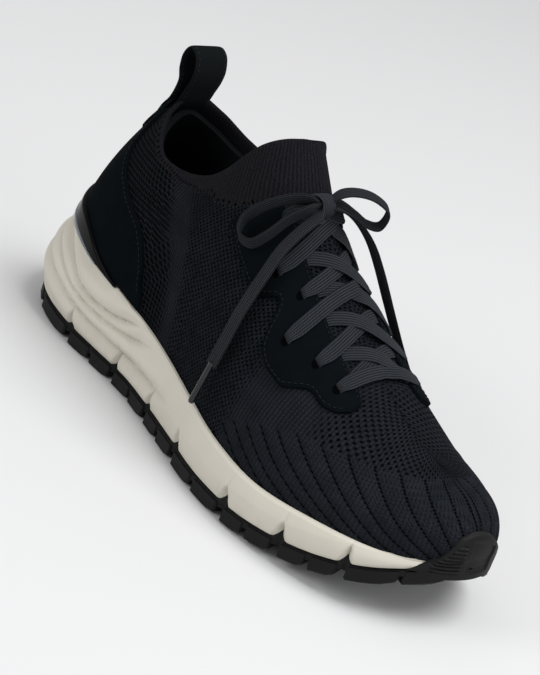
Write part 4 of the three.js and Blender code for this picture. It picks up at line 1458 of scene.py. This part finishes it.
def knot_band(centre):
    """One turn and a little more of lace round the bow's middle."""
    half_x, _, half_z = KNOT["half"]
    angle = np.linspace(-0.6, 2 * np.pi + 0.2, 64)
    grow = 1 + 0.05 * angle / np.pi
    x = -0.8 + half_x * 0.86 * grow * np.cos(angle)
    y = -0.4 + 1.3 * np.sin(angle + 0.7)
    z = half_z * 1.08 * grow * np.sin(angle)
    path = centre + np.stack([x, y, z], -1)
    width, thick = LACE["width"] * 0.95, LACE["thick"] * 1.25
    return strap_mesh("band", path, (0.1, 1, 0.1), width, thick, ribs=LACE["ribs"])


def knot_core(centre):
    """The laces that pass through inside the band, as one bundle."""
    half_y = KNOT["half"][1]
    path = centre + np.stack([np.full(64, -0.8), np.linspace(-half_y, half_y, 64), np.zeros(64)], -1)
    swell = 6.2 * np.sin(np.linspace(0.25, np.pi - 0.25, 64)) ** 0.5
    return strap_mesh("core", path, (1, 0, 0), swell, swell * 0.85, ribs=8)


def lace_knot():
    centre = np.array(KNOT["centre"], float)
    meshes = [knot_lead(-1, centre), knot_lead(1, centre), knot_band(centre), knot_core(centre)]
    add_piece("lace_knot_woven", join_meshes("knot", meshes), "lace", ["lace_knot"])


def cord_path(name):
    """The lace's middle line. Every lace starts inside the knot, and the loops end there too."""
    knot = np.array(KNOT["centre"], float)
    points = [knot + KNOT_START * (CORDS[name][0] - knot), *CORDS[name]]
    if "loop" in name:
        points.append(knot + KNOT_START * (CORDS[name][-1] - knot))
    return line_at(points, np.linspace(0, len(points) - 1, 140))


def bow():
    for name in CORDS:
        is_loop = "loop" in name
        path = cord_path(name)
        walked = arc_lengths(path, 0)
        to_knot = np.minimum(walked, walked[-1] - walked) if is_loop else walked
        width = LACE["width"] * mix(0.62, 1, smooth(0, 9, to_knot))
        thick = LACE["thick"] * mix(1.45, 1, smooth(0, 9, to_knot))
        mesh = strap_mesh(name, path, WIDTH_DIRECTIONS[name], width, thick, ribs=LACE["ribs"])
        piece = add_piece(f"{name}_woven", mesh, "lace", [name])
        if is_loop:
            continue
        tip = aglet(name.split("_")[-1], path[-1], unit(path[-1] - path[-4]))


def aglet(side, end, direction):
    """The hard sleeve on a lace's end, a little wider at its mouth and rounded at its tip."""
    overlap = 1.5
    share = np.linspace(0, 1, 40)
    path = end + direction * (CLEARANCE - overlap + (AGLET["length"] + overlap) * share)[:, None]
    angle = np.linspace(0, 2 * np.pi, 21)
    across = unit(np.cross(direction, [0, 0, 1.0]))
    up = np.cross(direction, across)
    swell = 1 + 0.12 * np.exp(-((share / 0.03) ** 2)) - 0.35 * smooth(0.95, 1, share)
    ring = np.cos(angle[:-1])[:, None] * across + np.sin(angle[:-1])[:, None] * up
    points = path[:, None] + ring[None] * (AGLET["radius"] * swell)[:, None, None]
    u, w = np.broadcast_arrays(angle[None] * AGLET["radius"], arc_lengths(path, 0)[:, None])
    mesh = grid_mesh("aglet", points, sharp=50, weave=np.stack([u, w], -1))
    return add_piece(f"aglet_{side}_tip", mesh, "aglet", [f"aglet_{side}"])


# ---------------------------------------------------------------- the scene


def paint_hidden_parts():
    """The solids that keep their own shape get the board's material."""
    for node in ("strobel_board", "toe_puff", "heel_counter"):
        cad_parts[node].data.materials.clear()
        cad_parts[node].data.materials.append(MATERIALS["board"])


add_camera()
add_lights()
bow()
lace_rows()
lace_knot()
knit_upper()
eyestay("lateral")
eyestay("medial")
eyelet_hole_shade()
heel_patch()
heel_clip()
heel_lining()
insole()
midsole()
outsole()
toe_bumper()
pull_tab()
tab_anchor()
paint_hidden_parts()
add_floor()
